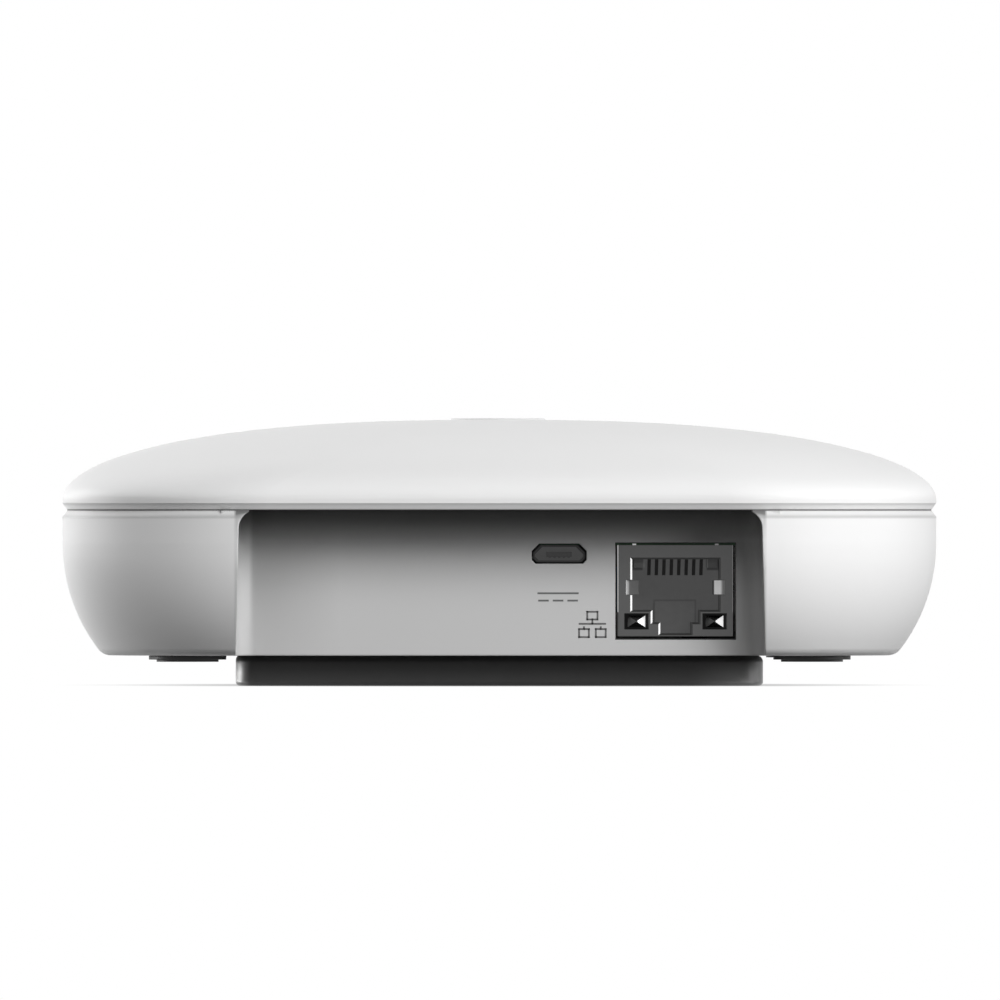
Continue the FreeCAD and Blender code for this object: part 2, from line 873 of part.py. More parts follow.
def cover_cavity():
    """The hollow under the dome, in straight steps about one wall inside it, open below."""
    wall = float(S["cover_wall"])
    reach, corner = float(half) - wall, float(S["corner_radius"]) - wall
    item = doc.addObject("Part::Feature", "cover_cavity")
    item.Shape = dome_form(dome_rings(reach, corner, float(S["dome_rise"]) - wall, 6),
                           [(reach, corner, float(seam) - 1)], False)
    return item


def cover_inner_parts():
    """What stays inside the dome: screw bosses, board bosses and the roof over the recess."""
    body = new_body("cover_bosses")
    bosses = new_sketch(body, "XY_Plane", seam)
    corner_circles(bosses, S["boss_radius"])
    pad(body, bosses, S["dome_rise"])
    side = S["recess_width"] / 2 + S["recess_flare"] + S["casing_wall"]
    roof = block("recess_roof", 0, -(half + wall_back) / 2, seam - 1, 2 * side,
                 half - wall_back, S["cover_wall"] + 1)
    pillars = new_body("board_bosses")
    sketch = new_sketch(pillars, "XY_Plane", button_board_top)
    for x, y in board_boss_places:
        circle(sketch, x, y, S["board_boss_radius"])
    pad(pillars, sketch, S["button_board_drop"])
    return combine("MultiFuse", "cover_inside", [body, roof, pillars])


def make_top_cover():
    hollow = combine("Cut", "cover_hollow", [cover_cavity(), cover_inner_parts()])
    shell = combine("Cut", "cover_shell", [cover_form(), hollow])
    drill = new_body("cover_drill")
    opening = new_sketch(drill, "XY_Plane", crown + 1)
    circle(opening, 0, 0, S["light_ring_radius"] + S["fit_gap"])
    pad(drill, opening, S["button_board_drop"], reverse=True)
    screws = new_body("cover_screw_holes")
    pilots = new_sketch(screws, "XY_Plane", seam - 1)
    corner_circles(pilots, S["screw_radius"] + S["thread_gap"])
    depth = floor_low + S["counterbore_depth"] + S["housing_screw_length"] - seam + 1.5
    pad(screws, pilots, depth)
    board_screws = new_body("cover_board_screw_holes")
    pilots = new_sketch(board_screws, "XY_Plane", button_board_top)
    for x, y in board_boss_places:
        circle(pilots, x, y, S["small_screw_radius"] + S["thread_gap"])
    pad(board_screws, pilots, S["small_screw_length"] - S["board_thickness"] + S["fit_gap"])
    drills = combine("MultiFuse", "cover_holes", [drill, screws, board_screws])
    cover = combine("Cut", "top_cover", [shell, drills])
    return keep(cover)


# Wall bracket: a shallow plate with four hooks, four screw holes and the tamper ramp

def make_wall_bracket():
    body = new_body("wall_bracket")
    plan = new_sketch(body, "XY_Plane")
    rounded_rectangle(plan, as_size(0), as_size(0), S["bracket_width"], S["bracket_width"],
                      S["bracket_corner"])
    pad(body, plan, S["bracket_height"])
    top = float(S["bracket_height"])
    round_edges(body, S["bracket_corner"] * 0.3, lambda edge: edge.BoundBox.ZMin > top - 1e-4)
    round_edges(body, S["bracket_corner"] * 0.2, lambda edge: edge.BoundBox.ZMax < 1e-4)
    # Hollow underside round the screw bosses and the ramp's backing.
    under = new_sketch(body, "XY_Plane")
    inside = S["bracket_width"] - 2 * S["bracket_rim"]
    rounded_rectangle(under, as_size(0), as_size(0), inside, inside,
                      S["bracket_corner"] * 0.5)
    for x in (-S["wall_screw_x"] / 2, S["wall_screw_x"] / 2):
        for y in (-S["wall_screw_y"] / 2, S["wall_screw_y"] / 2):
            circle(under, x, y, S["wall_screw_head_radius"] + 1)
    ramp_run = S["bracket_travel"] + 2 * S["tamper_radius"]
    ramp_y = S["tamper_y"] - S["bracket_travel"] / 2
    rectangle(under, S["tamper_x"], ramp_y, 2 * S["tamper_radius"] + 2.4, ramp_run + 3)
    pocket(body, under, S["bracket_height"] - S["bracket_plate"], reverse=True)
    window = new_sketch(body, "XY_Plane")
    rounded_rectangle(window, as_size(0), as_size(0), S["bracket_window"],
                      S["bracket_window"], S["bracket_corner"])
    pocket(body, window, S["bracket_height"] + 1, reverse=True)
    # Screw holes with countersinks for the heads.
    holes = new_sketch(body, "XY_Plane")
    for x in (-S["wall_screw_x"] / 2, S["wall_screw_x"] / 2):
        for y in (-S["wall_screw_y"] / 2, S["wall_screw_y"] / 2):
            circle(holes, x, y, S["wall_screw_radius"])
    drilled = pocket(body, holes, S["bracket_height"] + 1, reverse=True)
    sink = S["wall_screw_head_radius"] - S["wall_screw_radius"]
    feature = body.newObject("PartDesign::Chamfer", "countersinks")
    rims = [f"Edge{n}" for n, edge in enumerate(drilled.Shape.Edges, start=1)
            if edge.BoundBox.ZMin > top - 1e-4
            and abs(edge.Length - 2 * math.pi * float(S["wall_screw_radius"])) < 1e-3]
    feature.Base = (drilled, rims)
    bind(feature, "Size", sink)
    doc.recompute()
    # The ramp drops by the tamper stroke over the whole travel.
    ramp = new_sketch(body, "YZ_Plane", S["tamper_x"])
    slope = S["tamper_stroke"] / S["bracket_travel"]
    near = S["tamper_y"] + S["tamper_radius"]
    far = S["tamper_y"] - S["tamper_radius"] - S["bracket_travel"]
    near_z = S["bracket_height"] - S["moving_gap"]
    far_z = near_z - (near - far) * slope
    outline(ramp, [
        (far, S["bracket_height"] + 1),
        (far, far_z),
        (near, near_z),
        (near, S["bracket_height"] + 1),
    ])
    pocket(body, ramp, 2 * (S["tamper_radius"] + S["fit_gap"]), both=True)
    stems = new_sketch(body, "XY_Plane", S["bracket_height"])
    heads = new_sketch(body, "XY_Plane", floor_top + S["moving_gap"])
    for x in (-S["hook_x"], S["hook_x"]):
        for y in (-S["hook_y"], S["hook_y"]):
            rectangle(stems, x, y, S["hook_stem"], S["hook_stem"])
            rectangle(heads, x, y, S["hook_head"], S["hook_head"])
    pad(body, stems, S["floor_thickness"] + S["moving_gap"])
    pad(body, heads, S["hook_head_height"])
    return keep(body)


# Feet and screws at the corners

def make_corner_hardware():
    foot_low = floor_low - S["foot_rim_height"] - S["foot_step_height"]
    plug = S["counterbore_radius"] - S["moving_gap"]
    foot = turned("corner_foot", [
        (0, foot_low),
        (S["foot_step_radius"], foot_low),
        (S["foot_step_radius"], floor_low - S["foot_rim_height"]),
        (S["foot_radius"], floor_low - S["foot_rim_height"]),
        (S["foot_radius"], floor_low),
        (plug, floor_low),
        (plug, floor_low + S["foot_plug_height"]),
        (0, floor_low + S["foot_plug_height"]),
    ], screw_at, screw_at)
    keep(four_corners("rubber_feet", foot))
    seat = floor_low + S["counterbore_depth"]
    screw = turned("corner_screw", screw_profile(seat, S["screw_radius"],
                                                 S["housing_screw_length"]),
                   screw_at, screw_at)
    keep(four_corners("housing_screws", screw))


def screw_profile(seat, radius, length):
    """A pan-head screw that points up, with its head below the seat."""
    head = S["screw_head_radius"]
    low = seat - S["screw_head_height"]
    bevel = S["screw_head_bevel"]
    return [
        (0, low + S["screw_drive_depth"]),
        (S["screw_drive_radius"], low + S["screw_drive_depth"]),
        (S["screw_drive_radius"], low),
        (head - bevel, low),
        (head, low + bevel),
        (head, seat),
        (radius, seat),
        (radius, seat + length - radius),
        (0, seat + length),
    ]


def downward_screw(label, x, y, seat, radius, length, head, thick):
    """A pan-head screw that points down, with its head on the seat."""
    bevel = S["screw_head_bevel"]
    return turned(label, [
        (0, seat - length),
        (radius, seat - length + radius),
        (radius, seat),
        (head, seat),
        (head, seat + thick - bevel),
        (head - bevel, seat + thick),
        (S["screw_drive_radius"], seat + thick),
        (S["screw_drive_radius"], seat + thick - S["screw_drive_depth"]),
        (0, seat + thick - S["screw_drive_depth"]),
    ], x, y)


# Button and light ring

def make_button_and_ring():
    button_top = crown + S["button_proud"]
    web_low = crown - S["light_web_drop"]
    flange_top = web_low - S["moving_gap"]
    flange_low = flange_top - S["button_flange_height"]
    button = turned("top_button", [
        (0, button_stem_low),
        (S["tact_stem_radius"] + 0.6, button_stem_low),
        (S["tact_stem_radius"] + 0.6, flange_low),
        (S["button_flange_radius"], flange_low),
        (S["button_flange_radius"], flange_top),
        (S["button_radius"], flange_top),
        (S["button_radius"], button_top - S["button_edge"]),
        (S["button_radius"] - S["button_edge"], button_top),
        (0, button_top),
    ])
    keep(button)
    bore = S["button_radius"] + S["moving_gap"]
    skirt_in = S["light_skirt_radius"] - S["light_skirt_wall"]
    led_top = button_board_top + S["led_height"]
    ring = turned("light_ring", [
        (bore, web_low),
        (skirt_in, web_low),
        (skirt_in, led_top + S["fit_gap"]),
        (S["light_skirt_radius"], led_top + S["fit_gap"]),
        (S["light_skirt_radius"], web_low + S["light_web_height"]),
        (S["light_ring_radius"], web_low + S["light_web_height"]),
        (S["light_ring_radius"], crown - 0.15),
        (bore, crown - 0.05),
    ])
    keep(ring)


# Small board below the button, with its screws, switch and lamps

def make_button_board():
    board = new_body("button_board")
    sketch = new_sketch(board, "XY_Plane", button_board_low)
    circle(sketch, 0, 0, S["button_board_radius"])
    for x, y in board_boss_places:
        circle(sketch, x, y, S["screw_radius"])
    pad(board, sketch, S["board_thickness"])
    keep(board)
    screws = []
    radius = S["small_screw_radius"]
    head_low = button_board_low - S["small_screw_head_height"]
    for number, (x, y) in enumerate(board_boss_places, start=1):
        screws.append(turned(f"board_screw_{number}", [
            (0, head_low),
            (S["small_screw_head_radius"], head_low),
            (S["small_screw_head_radius"], button_board_low),
            (radius, button_board_low),
            (radius, button_board_low + S["small_screw_length"] - radius),
            (0, button_board_low + S["small_screw_length"]),
        ], x, y))
    keep(combine("Compound", "button_board_screws", screws))
    switch = new_body("button_switch_body")
    sketch = new_sketch(switch, "XY_Plane", button_board_top)
    rounded_rectangle(sketch, as_size(0), as_size(0), S["tact_width"], S["tact_width"],
                      as_size(0.5))
    pad(switch, sketch, S["tact_height"])
    well = new_sketch(switch, "XY_Plane", button_board_top + S["tact_height"])
    circle(well, 0, 0, S["tact_stem_radius"] + S["moving_gap"])
    pocket(switch, well, S["tact_height"] * 0.5)
    keep(switch)
    keep(disc("button_switch_actuator", S["tact_stem_radius"],
              button_board_top + S["tact_height"] * 0.5 + S["button_travel"] + S["moving_gap"],
              button_stem_low))
    lamps = []
    for number in range(4):
        turn = math.radians(90 * number + 45)
        reach = S["light_skirt_radius"] - S["light_skirt_wall"] / 2
        lamp = block(f"lamp_{number + 1}", reach * math.cos(turn), reach * math.sin(turn),
                     button_board_top, S["led_width"], S["led_width"], S["led_height"])
        lamps.append(lamp)
    keep(combine("Compound", "status_leds", lamps))


# Main board and what is soldered to it

def make_main_board():
    board = new_body("main_board")
    sketch = new_sketch(board, "XY_Plane", board_low)
    edge = S["main_board_half"]
    inner = screw_at - S["boss_radius"] - S["board_corner_gap"]
    outline(sketch, [
        (-inner, -board_rear),
        (inner, -board_rear),
        (inner, -inner),
        (edge, -inner),
        (edge, inner),
        (inner, inner),
        (inner, edge),
        (-inner, edge),
        (-inner, inner),
        (-edge, inner),
        (-edge, -inner),
        (-inner, -inner),
    ])
    for x in (-standoff_x, standoff_x):
        circle(sketch, x, S["standoff_front"], S["screw_radius"] + S["fit_gap"])
        circle(sketch, x, -S["standoff_rear"], S["screw_radius"] + S["fit_gap"])
    pad(board, sketch, S["board_thickness"])
    keep(board)
    screws = []
    for x in (-standoff_x, standoff_x):
        for y in (S["standoff_front"], -S["standoff_rear"]):
            screws.append(downward_screw(
                f"post_screw_{len(screws) + 1}", x, y, board_top, S["screw_radius"],
                S["board_screw_length"], S["screw_head_radius"], S["screw_head_height"]))
    keep(combine("Compound", "main_board_screws", screws))


def make_board_parts():
    can_x, can_y = S["processor_x"], S["processor_y"]
    can = block("processor_shield", can_x, can_y, board_top, S["can_width"], S["can_width"],
                S["can_height"], S["can_sheet"] * 2)
    inner = new_sketch(can, "XY_Plane", board_top)
    room = S["can_width"] - 2 * S["can_sheet"]
    rectangle(inner, as_size(0), as_size(0), room, room)
    pocket(can, inner, S["can_height"] - S["can_sheet"], reverse=True)
    keep(can)
    keep(block("processor_chip", can_x, can_y, board_top, S["processor_width"],
               S["processor_width"], S["processor_height"]))
    memory_x = can_x + (S["can_width"] + S["memory_width"]) / 2 + 4 * S["part_gap"]
    keep(block("memory_chip", memory_x, can_y, board_top, S["memory_width"],
               S["memory_depth"], S["memory_height"]))
    cellular_y = S["main_board_half"] - S["module_edge_gap"] - S["cellular_depth"] / 2
    keep(block("cellular_module", 0, cellular_y, board_top, S["cellular_width"],
               S["cellular_depth"], S["module_height"], S["can_sheet"] * 2))
    radio_x = standoff_x - S["screw_head_radius"] - S["radio_width"] / 2 - S["part_gap"]
    keep(block("radio_module", -radio_x, -S["standoff_rear"], board_top, S["radio_width"],
               S["radio_depth"], S["module_height"], S["can_sheet"] * 2))
    # The network and power parts stand behind the sockets that they serve.
    lan_back = wall_face - S["lan_setback"] - S["lan_length"]
    keep(block("network_transformer", S["lan_x"],
               -(lan_back - S["part_gap"] - S["transformer_depth"] / 2), board_top,
               S["transformer_width"], S["transformer_depth"], S["transformer_height"],
               S["can_sheet"] * 2))
    capacitor_y = board_rear - S["capacitor_edge_gap"] - S["capacitor_radius"]
    inductor_y = (capacitor_y - S["capacitor_radius"] - S["part_gap"]
                  - S["inductor_width"] / 2)
    keep(block("power_inductor", S["power_x"], -inductor_y, board_top, S["inductor_width"],
               S["inductor_width"], S["inductor_height"], S["can_sheet"] * 5))
    cans = []
    for number in range(2):
        cans.append(disc(f"capacitor_{number + 1}", S["capacitor_radius"], board_top,
                         board_top + S["capacitor_height"],
                         S["power_x"] - S["capacitor_pitch"] * (number + 0.3), -capacitor_y))
    keep(combine("Compound", "power_capacitors", cans))
    for name, sign in (("left_antenna_board", -1), ("right_antenna_board", 1)):
        keep(block(name, sign * (S["main_board_half"] - S["antenna_inset"]), 0, board_top,
                   S["antenna_thickness"], S["antenna_length"], S["antenna_height"]))
    header = block("board_link_header", 0, S["header_y"], board_top, S["header_width"],
                   S["header_depth"], button_board_low - board_top)
    keep(header)


# Network socket: folded metal shield, plastic insert, spring contacts and two lamps

def plug_outline(sketch):
    """The mouth of the network socket, with the two steps for the plug's latch."""
    x = S["lan_x"]
    high = board_low - S["plug_drop"]
    low = high - S["plug_height"]
    wide = S["plug_width"] / 2
    latch = S["latch_width"] / 2
    slot = S["latch_slot_width"] / 2
    step = low - S["latch_depth"]
    end = step - S["latch_slot_depth"]
    outline(sketch, [
        (x - wide, high),
        (x - wide, low),
        (x - latch, low),
        (x - latch, step),
        (x - slot, step),
        (x - slot, end),
        (x + slot, end),
        (x + slot, step),
        (x + latch, step),
        (x + latch, low),
        (x + wide, low),
        (x + wide, high),
    ])


def lamp_windows(sketch):
    z = board_low - S["lan_height"] + S["lan_lamp_z"]
    for x in (S["lan_x"] - S["lan_lamp_x"], S["lan_x"] + S["lan_lamp_x"]):
        rectangle(sketch, x, z, S["lan_lamp_width"], S["lan_lamp_height"])


def bevel_plug_mouth(shield, front):
    """Bevel the front edges of the plug opening, but not those of the lamp windows."""
    middle = float(S["lan_x"])
    wide = float(S["plug_width"]) / 2 + 1e-3
    narrow = float(S["latch_width"]) / 2 + 1e-3
    step = float(board_low - S["plug_drop"] - S["plug_height"]) - 1e-3
    names = []
    tip = shield.Tip
    for number, edge in enumerate(tip.Shape.Edges, start=1):
        ends = [vertex.Point for vertex in edge.Vertexes]
        if any(abs(end.y + front) > 1e-4 for end in ends):
            continue
        if all(abs(end.x - middle) < (wide if end.z > step else narrow) for end in ends):
            names.append(f"Edge{number}")
    bevel = shield.newObject("PartDesign::Chamfer", "plug_mouth_bevel")
    bevel.Base = (tip, names)
    bind(bevel, "Size", S["plug_bevel"])
    doc.recompute()


def insert_details(insert, face):
    """Side grooves for the springs, two ribs under the ceiling and a block on the back wall."""
    x, z = S["lan_x"], board_low - S["spring_drop"]
    grooves = new_sketch(insert, "XZ_Plane", face)
    for sign in (-1, 1):
        middle = x + sign * (S["plug_width"] + S["spring_slot"]) / 2
        rectangle(grooves, middle, z, S["spring_slot"] + 2 * S["spring_sheet"],
                  S["spring_height"] + S["fit_gap"])
    pocket(insert, grooves, S["spring_length"] + S["fit_gap"])
    ribs = new_sketch(insert, "XZ_Plane", face - 1)
    high = board_low - S["plug_drop"] + S["fit_gap"]
    for sign in (-1, 1):
        rectangle(ribs, x + sign * S["rib_x"], high - S["rib_height"] / 2, S["rib_width"],
                  S["rib_height"])
    pad(insert, ribs, S["plug_depth"] - 1, reverse=True)
    block_low = (board_low - S["plug_drop"] - S["plug_height"] - S["latch_depth"]
                 - S["latch_slot_depth"])
    key_block = new_sketch(insert, "XZ_Plane", face - S["plug_depth"] - S["fit_gap"])
    rectangle(key_block, x, block_low + S["key_block_height"] / 2, S["key_block_width"],
              S["key_block_height"])
    pad(insert, key_block, S["key_block_depth"] + S["fit_gap"])


def make_socket_springs(front):
    """Two side springs that touch a plug's shell, and two tabs that earth the shield on top."""
    springs = []
    sheet = S["spring_sheet"]
    for number, sign in enumerate((-1, 1), start=1):
        spring = new_body(f"side_spring_{number}")
        plan = new_sketch(spring, "XY_Plane", board_low - S["spring_drop"]
                          - S["spring_height"] / 2)
        edge = S["lan_x"] + sign * S["plug_width"] / 2
        root = edge + sign * S["spring_slot"]
        peak = edge - sign * S["spring_bulge"]
        mouth = -front + S["fit_gap"]
        crest = mouth + S["spring_length"] * 0.45
        tail = mouth + S["spring_length"] * 0.9
        outline(plan, [
            (root, mouth),
            (root - sign * sheet, mouth),
            (root - sign * sheet, mouth + 2 * sheet),
            (peak, crest),
            (root - sign * sheet, tail),
            (root, tail),
            (peak + sign * 1.5 * sheet, crest),
            (root, mouth + 3 * sheet),
        ])
        pad(spring, plan, S["spring_height"])
        springs.append(spring)
        springs.append(block(f"top_tab_{number}", S["lan_x"] + sign * S["top_tab_x"],
                             -front + S["fit_gap"] + S["top_tab_length"] / 2, board_low,
                             S["top_tab_width"], S["top_tab_length"], S["fit_gap"]))
    keep(combine("Compound", "network_socket_springs", springs))


def make_network_socket():
    front = wall_face - S["lan_setback"]
    z = board_low - S["lan_height"] / 2
    sheet = S["lan_sheet"]
    shield = new_body("network_socket_shield")
    box = new_sketch(shield, "XZ_Plane", front)
    rectangle(box, S["lan_x"], z, S["lan_width"], S["lan_height"])
    pad(shield, box, S["lan_length"], reverse=True)
    inside = new_sketch(shield, "XZ_Plane", front - sheet)
    rectangle(inside, S["lan_x"], z, S["lan_width"] - 2 * sheet, S["lan_height"] - 2 * sheet)
    pocket(shield, inside, S["lan_length"])
    mouth = new_sketch(shield, "XZ_Plane", front)
    plug_outline(mouth)
    lamp_windows(mouth)
    pocket(shield, mouth, 2 * sheet)
    bevel_plug_mouth(shield, float(front))
    slots = new_sketch(shield, "XZ_Plane", front)
    for sign in (-1, 1):
        slot_x = S["lan_x"] + sign * (S["plug_width"] + S["spring_slot"]) / 2
        rectangle(slots, slot_x, board_low - S["spring_drop"],
                  S["spring_slot"],
                  S["spring_height"] + S["fit_gap"])
    pocket(shield, slots, sheet + S["moving_gap"])
    keep(shield)
    insert = new_body("network_socket_insert")
    fill = new_sketch(insert, "XZ_Plane", front - sheet)
    rectangle(fill, S["lan_x"], z, S["lan_width"] - 2 * sheet, S["lan_height"] - 2 * sheet)
    pad(insert, fill, S["lan_length"] - sheet, reverse=True)
    cavity = new_sketch(insert, "XZ_Plane", front - sheet)
    plug_outline(cavity)
    pocket(insert, cavity, S["plug_depth"])
    lamps = new_sketch(insert, "XZ_Plane", front - sheet)
    lamp_windows(lamps)
    pocket(insert, lamps, S["lan_lens_depth"] + S["lan_lens_length"] + S["moving_gap"])
    # Eight grooves in the cavity's ceiling guide the spring contacts.
    grooves = new_sketch(insert, "XZ_Plane", front - sheet - 1)
    ceiling = board_low - S["plug_drop"]
    for number in range(8):
        x = S["lan_x"] + S["contact_pitch"] * (number - 3.5)
        rectangle(grooves, x, ceiling, S["groove_width"], 2 * S["groove_depth"])
    pocket(insert, grooves, S["plug_depth"] - 1)
    insert_details(insert, front - sheet)
    keep(insert)
    # Each contact runs back in its groove and springs down towards the plug.
    wire = new_body("network_contact")
    side = new_sketch(wire, "YZ_Plane",
                      S["lan_x"] - 3.5 * S["contact_pitch"] - S["contact_width"] / 2)
    back = -(front - S["plug_depth"])
    mouth_y = -(front - sheet - S["contact_setback"])
    strip = S["contact_sheet"]
    low = ceiling + S["contact_lift"]
    dip = low - S["contact_dip"]
    outline(side, [
        (mouth_y, low + strip),
        (mouth_y, low),
        (mouth_y + 1, low),
        (back - 1.5, dip),
        (back - 1.5 + strip / 2, dip + strip),
        (mouth_y + 1 + strip / 2, low + strip),
    ])
    pad(wire, side, S["contact_width"])
    pattern = wire.newObject("PartDesign::LinearPattern", "contact_row")
    pattern.Originals = [wire.Tip]
    pattern.Direction = (origin_plane(wire, "X_Axis"), [""])
    bind(pattern, "Length", 7 * S["contact_pitch"])
    pattern.Occurrences = 8
    wire.Tip = pattern
    doc.recompute()
    wire.Label = "network_socket_contacts"
    keep(wire)
    make_socket_springs(front)
    lenses = []
    lamp_z = board_low - S["lan_height"] + S["lan_lamp_z"]
    wide = S["lan_lens_width"]
    tall = S["lan_lens_height"]
    for number, x in enumerate((S["lan_x"] - S["lan_lamp_x"],
                                S["lan_x"] + S["lan_lamp_x"]), start=1):
        lens = new_body(f"lamp_lens_{number}")
        base = new_sketch(lens, "XZ_Plane", front - sheet - S["lan_lens_depth"])
        rectangle(base, x, lamp_z, wide, tall)
        pad(lens, base, S["lan_lens_length"], reverse=True)
        low = new_sketch(lens, "XZ_Plane", front - sheet - S["lan_lens_depth"])
        rectangle(low, x, lamp_z, wide, tall)
        tip = new_sketch(lens, "XZ_Plane", front - sheet - S["moving_gap"])
        rectangle(tip, x, lamp_z, wide * 0.12, tall * 0.12)
        point = lens.newObject("PartDesign::AdditiveLoft", "lens_point")
        point.Profile = low
        point.Sections = [tip]
        point.Ruled = True
        doc.recompute()
        lenses.append(lens)
    keep(combine("Compound", "network_socket_lamps", lenses))


# Micro power socket: a folded shell that is narrower towards the board, and its tongue

def power_outline(sketch, inset):
    x = S["power_x"]
    wide = S["power_width"] / 2 - inset
    high = board_low - inset
    low = board_low - S["power_height"] + inset
    bevel = S["power_bevel"]
    outline(sketch, [
        (x - wide + bevel / 2, low),
        (x + wide - bevel / 2, low),
        (x + wide, low + bevel / 2),
        (x + wide, high - bevel),
        (x + wide - bevel, high),
        (x - wide + bevel, high),
        (x - wide, high - bevel),
        (x - wide, low + bevel / 2),
    ])


def make_power_socket():
    front = wall_face - S["power_setback"]
    shell = new_body("power_socket_shell")
    outer = new_sketch(shell, "XZ_Plane", front)
    power_outline(outer, as_size(0))
    pad(shell, outer, S["power_length"], reverse=True)
    inner = new_sketch(shell, "XZ_Plane", front)
    power_outline(inner, S["power_sheet"])
    room = S["power_length"] - S["power_back"]
    pocket(shell, inner, room)
    keep(shell)
    strip = S["power_contact_sheet"]
    z = board_low - S["power_height"] / 2 - strip
    tongue = new_body("power_socket_tongue")
    sketch = new_sketch(tongue, "XZ_Plane", front - S["power_tongue_setback"])
    rectangle(sketch, S["power_x"], z, S["power_tongue_width"], S["power_tongue_height"])
    pad(tongue, sketch, room - S["power_tongue_setback"], reverse=True)
    keep(tongue)
    contacts = []
    contact_setback = S["power_tongue_setback"] + 3 * strip
    for number in range(5):
        x = S["power_x"] + S["power_contact_pitch"] * (number - 2)
        top = z - S["power_tongue_height"] / 2
        contact = new_body(f"power_contact_{number + 1}")
        sketch = new_sketch(contact, "XZ_Plane", front - contact_setback)
        rectangle(sketch, x, top - strip / 2, S["power_contact_width"], strip)
        pad(contact, sketch, room - contact_setback, reverse=True)
        contacts.append(contact)
    keep(combine("Compound", "power_socket_contacts", contacts))


# Battery, siren, tamper plunger and reset switch

def make_battery():
    low = floor_top + S["battery_pad"]
    pack = block("battery_pack", S["battery_x"], S["battery_y"], low, S["battery_length"],
                 S["battery_width"], S["battery_height"])
    round_edges(pack, S["battery_round"], lambda edge: edge.BoundBox.YLength < 1e-4
                and edge.BoundBox.ZLength > 1 or edge.BoundBox.YLength > 1e-3)
    keep(pack)
    top = low + S["battery_height"]
    under = block("lower_pad", S["battery_x"], S["battery_y"], floor_top,
                  S["battery_length"] * 0.7, S["battery_width"] * 0.6, S["battery_pad"])
    over = block("upper_pad", S["battery_x"], S["battery_y"], top,
                 S["battery_length"] * 0.7, S["battery_width"] * 0.6, board_low - top)
    keep(combine("Compound", "battery_foam_pads", [under, over]))
    connector_x = (S["battery_x"] + S["battery_length"] / 2 + S["cradle_wall"]
                   + S["connector_width"] / 2 + S["part_gap"])
    keep(block("battery_connector", connector_x, S["battery_y"],
               board_low - S["connector_height"], S["connector_width"], S["connector_depth"],
               S["connector_height"]))


def make_siren():
    x, y = S["siren_x"], siren_y
    radius = S["siren_radius"]
    inner = radius - S["siren_wall"]
    ledge = inner - S["siren_ledge"]
    sounder_low = siren_low + S["siren_port_depth"]
    sounder_top = sounder_low + S["sounder_thickness"]
    keep(turned("siren_body", [
        (0, board_low - S["siren_cap"]),
        (ledge, board_low - S["siren_cap"]),
        (ledge, sounder_top),
        (inner, sounder_top),
        (inner, siren_low),
        (radius, siren_low),
        (radius, board_low),
        (0, board_low),
    ], x, y))
    keep(disc("siren_sounder", inner - S["moving_gap"], sounder_low, sounder_top, x, y))
    keep(turned("siren_gasket", [
        (ledge, floor_top),
        (radius, floor_top),
        (radius, siren_low),
        (ledge, siren_low),
    ], x, y))


def make_tamper():
    x, y = S["tamper_x"], S["tamper_y"]
    guide_top = floor_top + S["tamper_guide_height"]
    collar = guide_top + S["tamper_stroke"] + S["moving_gap"]
    switch_low = board_low - S["tamper_switch_height"]
    collar_top = collar + S["tamper_collar_height"]
    pin = S["tamper_radius"] * 0.6
    pin_top = switch_low + S["tamper_pin_depth"]
    bevel = S["tamper_tip_bevel"]
    keep(turned("tamper_plunger", [
        (0, floor_low),
        (S["tamper_radius"] - bevel, floor_low),
        (S["tamper_radius"], floor_low + bevel),
        (S["tamper_radius"], collar),
        (S["tamper_collar_radius"], collar),
        (S["tamper_collar_radius"], collar_top),
        (pin, collar_top),
        (pin, pin_top),
        (0, pin_top),
    ], x, y))
    switch = block("tamper_switch", x, y, switch_low, S["tamper_switch_width"],
                   S["tamper_switch_width"], S["tamper_switch_height"])
    well = new_sketch(switch, "XY_Plane", switch_low)
    circle(well, 0, 0, pin + S["moving_gap"])
    pocket(switch, well, S["tamper_pin_depth"] + S["fit_gap"], reverse=True)
    keep(switch)


def make_reset():
    x, y = S["reset_x"], S["reset_y"]
    low = board_low - S["tact_height"]
    switch = block("reset_switch_body", x, y, low, S["tact_width"], S["tact_width"],
                   S["tact_height"])
    well = new_sketch(switch, "XY_Plane", low)
    circle(well, 0, 0, S["reset_stem_radius"] + S["moving_gap"])
    pocket(switch, well, S["reset_well"], reverse=True)
    keep(switch)
    keep(disc("reset_switch_actuator", S["reset_stem_radius"], low - S["reset_stem_length"],
              low + S["reset_well"] - S["reset_travel"] - S["moving_gap"], x, y))


# Build, check and write the pieces

def build():
    make_base_housing()
    make_top_cover()
    make_wall_bracket()
    make_corner_hardware()
    make_button_and_ring()
    make_button_board()
    make_main_board()
    make_board_parts()
    make_network_socket()
    make_power_socket()
    make_battery()
    make_siren()
    make_tamper()
    make_reset()
    doc.recompute()


def check():
    for item in doc.Objects:
        if "Invalid" in item.State or "Error" in item.State:
            raise RuntimeError(f"{item.Label} failed to build")
    for piece in PIECES:
        shape = piece.Shape
        if shape.isNull() or not shape.isValid() or not shape.Solids or shape.Volume <= 0:
            raise RuntimeError(f"{piece.Label} has no valid solid")


def write():
    os.makedirs("parts", exist_ok=True)
    for piece in PIECES:
        piece.Shape.exportStep(f"parts/{piece.Label}.step")


build()
check()
write()
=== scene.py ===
import json
import math

